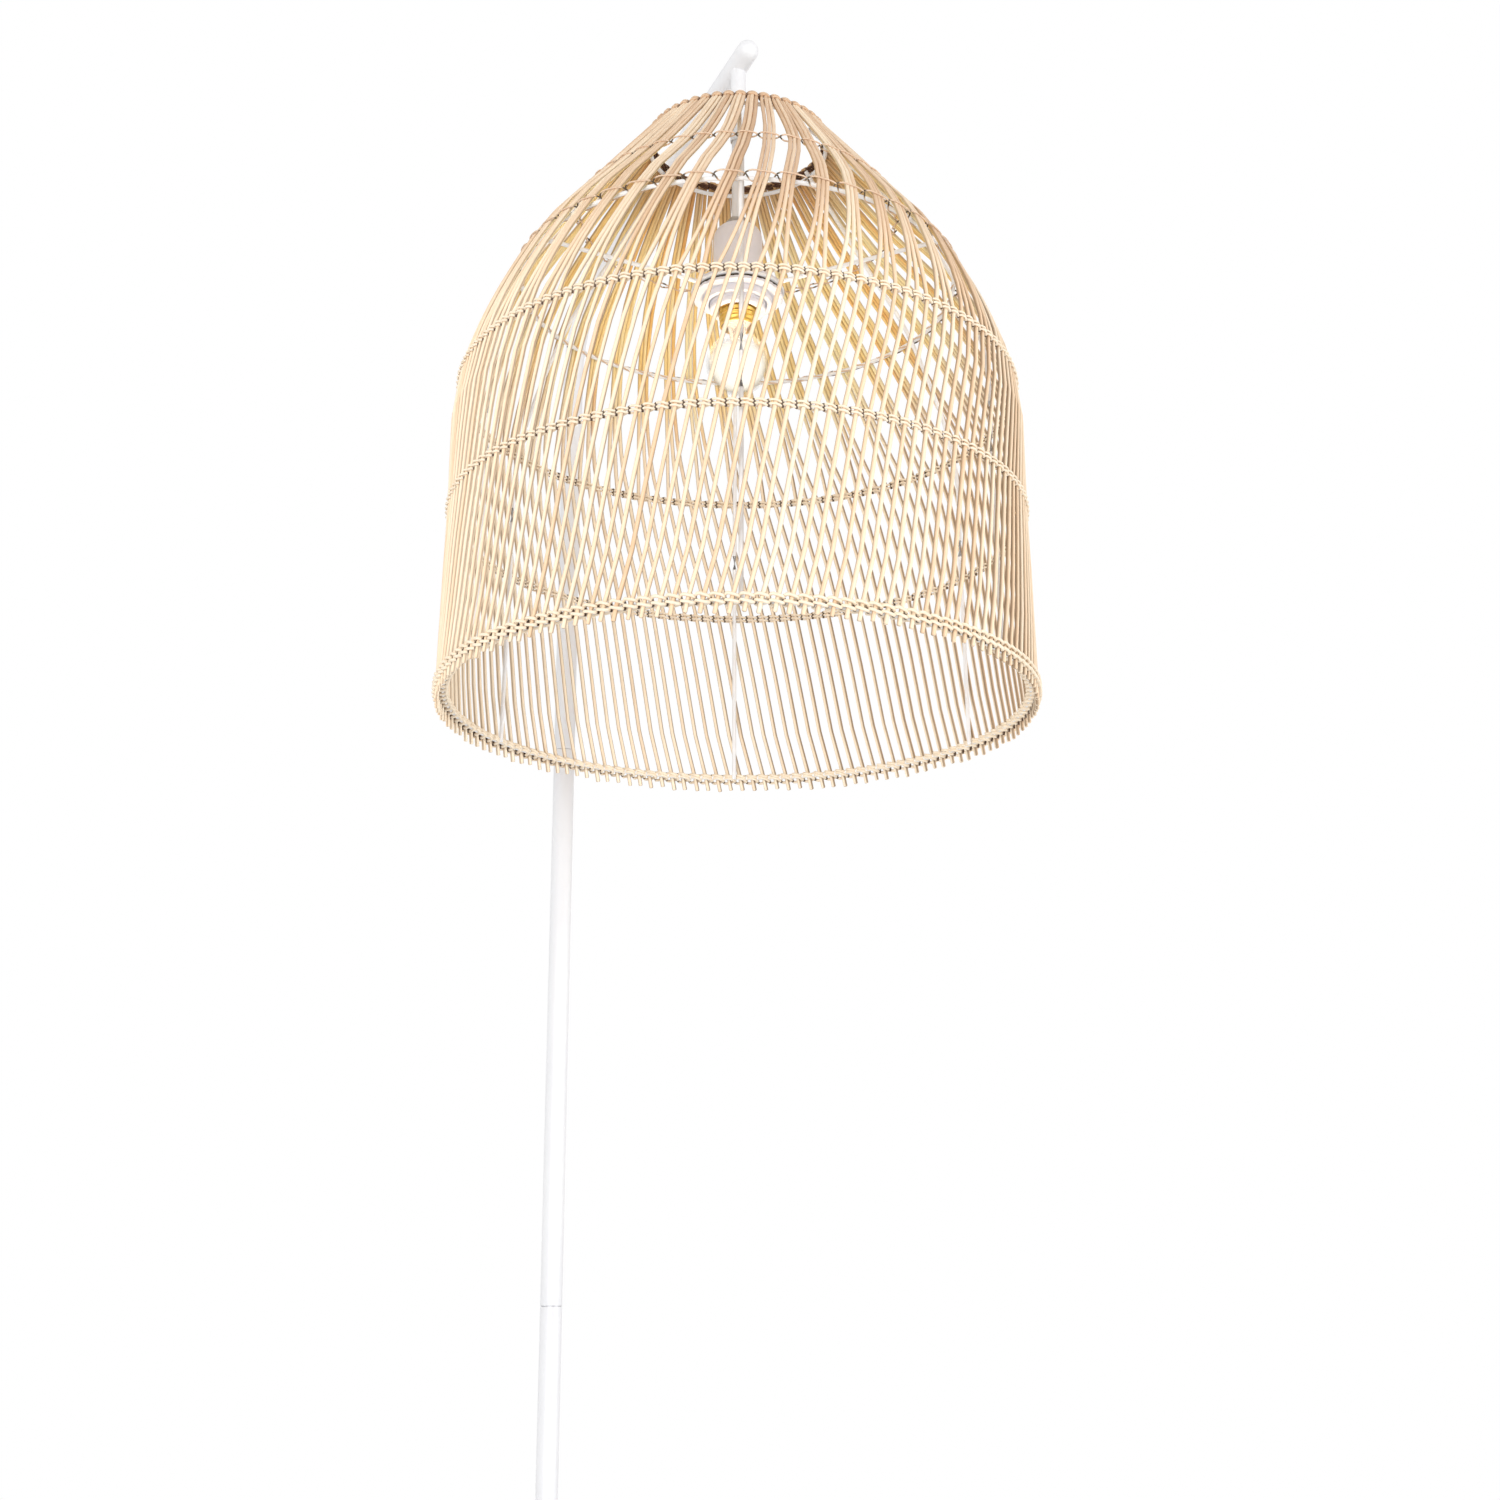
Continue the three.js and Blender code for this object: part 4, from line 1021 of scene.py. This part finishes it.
# %% Finishes of the solids that stay
kept_nodes = {
    zinc: ["base_bolt", "base_washer", "collar_screw", "pole_plug", "coupler_lower",
           "coupler_middle", "coupler_upper", "nipple_nut"],
    ceramic: ["holder_insert"],
    brass: ["holder_leaf"],
    black: ["bulb_contact"],
    # The washer is near black as painted shadow in the gap round the shade's fitting.
    fibre: ["shade_washer"],
}
for finish, names in kept_nodes.items():
    for name in names:
        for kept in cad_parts[name].material_slots:
            kept.material = finish.material
shown = [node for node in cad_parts.values() if not node.hide_render]
print("solids still shown:", len(shown))

# %% [markdown]
# ## Light and ground
#
# Soft light comes from all round. A wide lamp at the front left is the strongest, one at the right
# has half its power, and a weak one stands behind, so the rods have a light side and a darker one.
# A small warm lamp in the globe moves with the bulb. The ground's far edge would draw a line across
# the picture, so where the camera sees it the ground fades with distance to the background's
# white, while other light still meets a plain pale floor.

# %% World
world = bpy.data.worlds.new("studio")
bpy.context.scene.world = world
world.use_nodes = True
sky = world.node_tree
seen, lit = sky.nodes["Background"], sky.nodes.new("ShaderNodeBackground")
for background, strength in ((seen, 1), (lit, 0.75)):
    background.inputs["Color"].default_value = (1, 1, 1, 1)
    background.inputs["Strength"].default_value = strength
path, either, both, choose = (sky.nodes.new(kind) for kind in (
    "ShaderNodeLightPath", "ShaderNodeMath", "ShaderNodeMath", "ShaderNodeMixShader"))
either.operation = both.operation = "MAXIMUM"
for source, target in (
        (path.outputs["Is Camera Ray"], either.inputs[0]),
        (path.outputs["Is Glossy Ray"], either.inputs[1]),
        (either.outputs[0], both.inputs[0]),
        (path.outputs["Is Transmission Ray"], both.inputs[1]),
        (both.outputs[0], choose.inputs[0]),
        (lit.outputs[0], choose.inputs[1]),
        (seen.outputs[0], choose.inputs[2]),
        (choose.outputs[0], sky.nodes["World Output"].inputs["Surface"])):
    sky.links.new(source, target)


# %% Lamps
def soft_lamp(name, place, power, width):
    """A square lamp at a place, turned to the shade."""
    data = bpy.data.lights.new(name, "AREA")
    data.energy, data.size = power, width
    lamp = add_object(name, data)
    lamp.location = place
    target = Vector((reach * mm, 0, 1.3))
    lamp.rotation_euler = (target - lamp.location).to_track_quat("-Z", "Y").to_euler()


soft_lamp("front_lamp", (2.9, -3.1, 1), 80, 1.8)
soft_lamp("right_lamp", (2.4, 2.2, 1.4), 38, 1.8)
soft_lamp("back_lamp", (-2.6, 1.4, 2.2), 10, 1.6)
bulb_data = bpy.data.lights.new("bulb_light", "POINT")
bulb_data.energy = 0.26
bulb_data.color = (1, 0.86, 0.6)
bulb_data.shadow_soft_size = 0.018
bulb_lamp = add_object("bulb_light", bulb_data)
bulb_lamp.location = (reach * mm, 0, globe_middle * mm)
bulb_lamp.visible_camera = False
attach(bulb_lamp, "bulb")

# %% Ground
half_width = 12  # in metres
floor = Finish("pale_ground", Roughness=0.9, Specular_IOR_Level=0, Emission_Strength=1)
away = floor.node("ShaderNodeVectorMath", {"operation": "LENGTH"}, {0: floor.place()}, output=1)
seen_far = floor.mask(away, 0.5, 3.5) * floor.node("ShaderNodeLightPath", {}, {})
pale_floor = floor.ramp(floor.noise(floor.place(), 2), (0.3, colour(238, 238, 238)),
                        (0.7, colour(242, 242, 242)))
floor.feed(Base_Color=floor.mix(seen_far, pale_floor, (0, 0, 0, 1)),
           Emission_Color=floor.mix(seen_far, (0, 0, 0, 1), (1, 1, 1, 1)))
ground_mesh = bpy.data.meshes.new("ground")
corners = [(x * half_width, y * half_width, 0) for x, y in ((-1, -1), (1, -1), (1, 1), (-1, 1))]
ground_mesh.from_pydata(corners, [], [(0, 1, 2, 3)])
ground_mesh.materials.append(floor.material)
ground = add_object("ground", ground_mesh)
bpy.context.scene.view_settings.view_transform = "Standard"
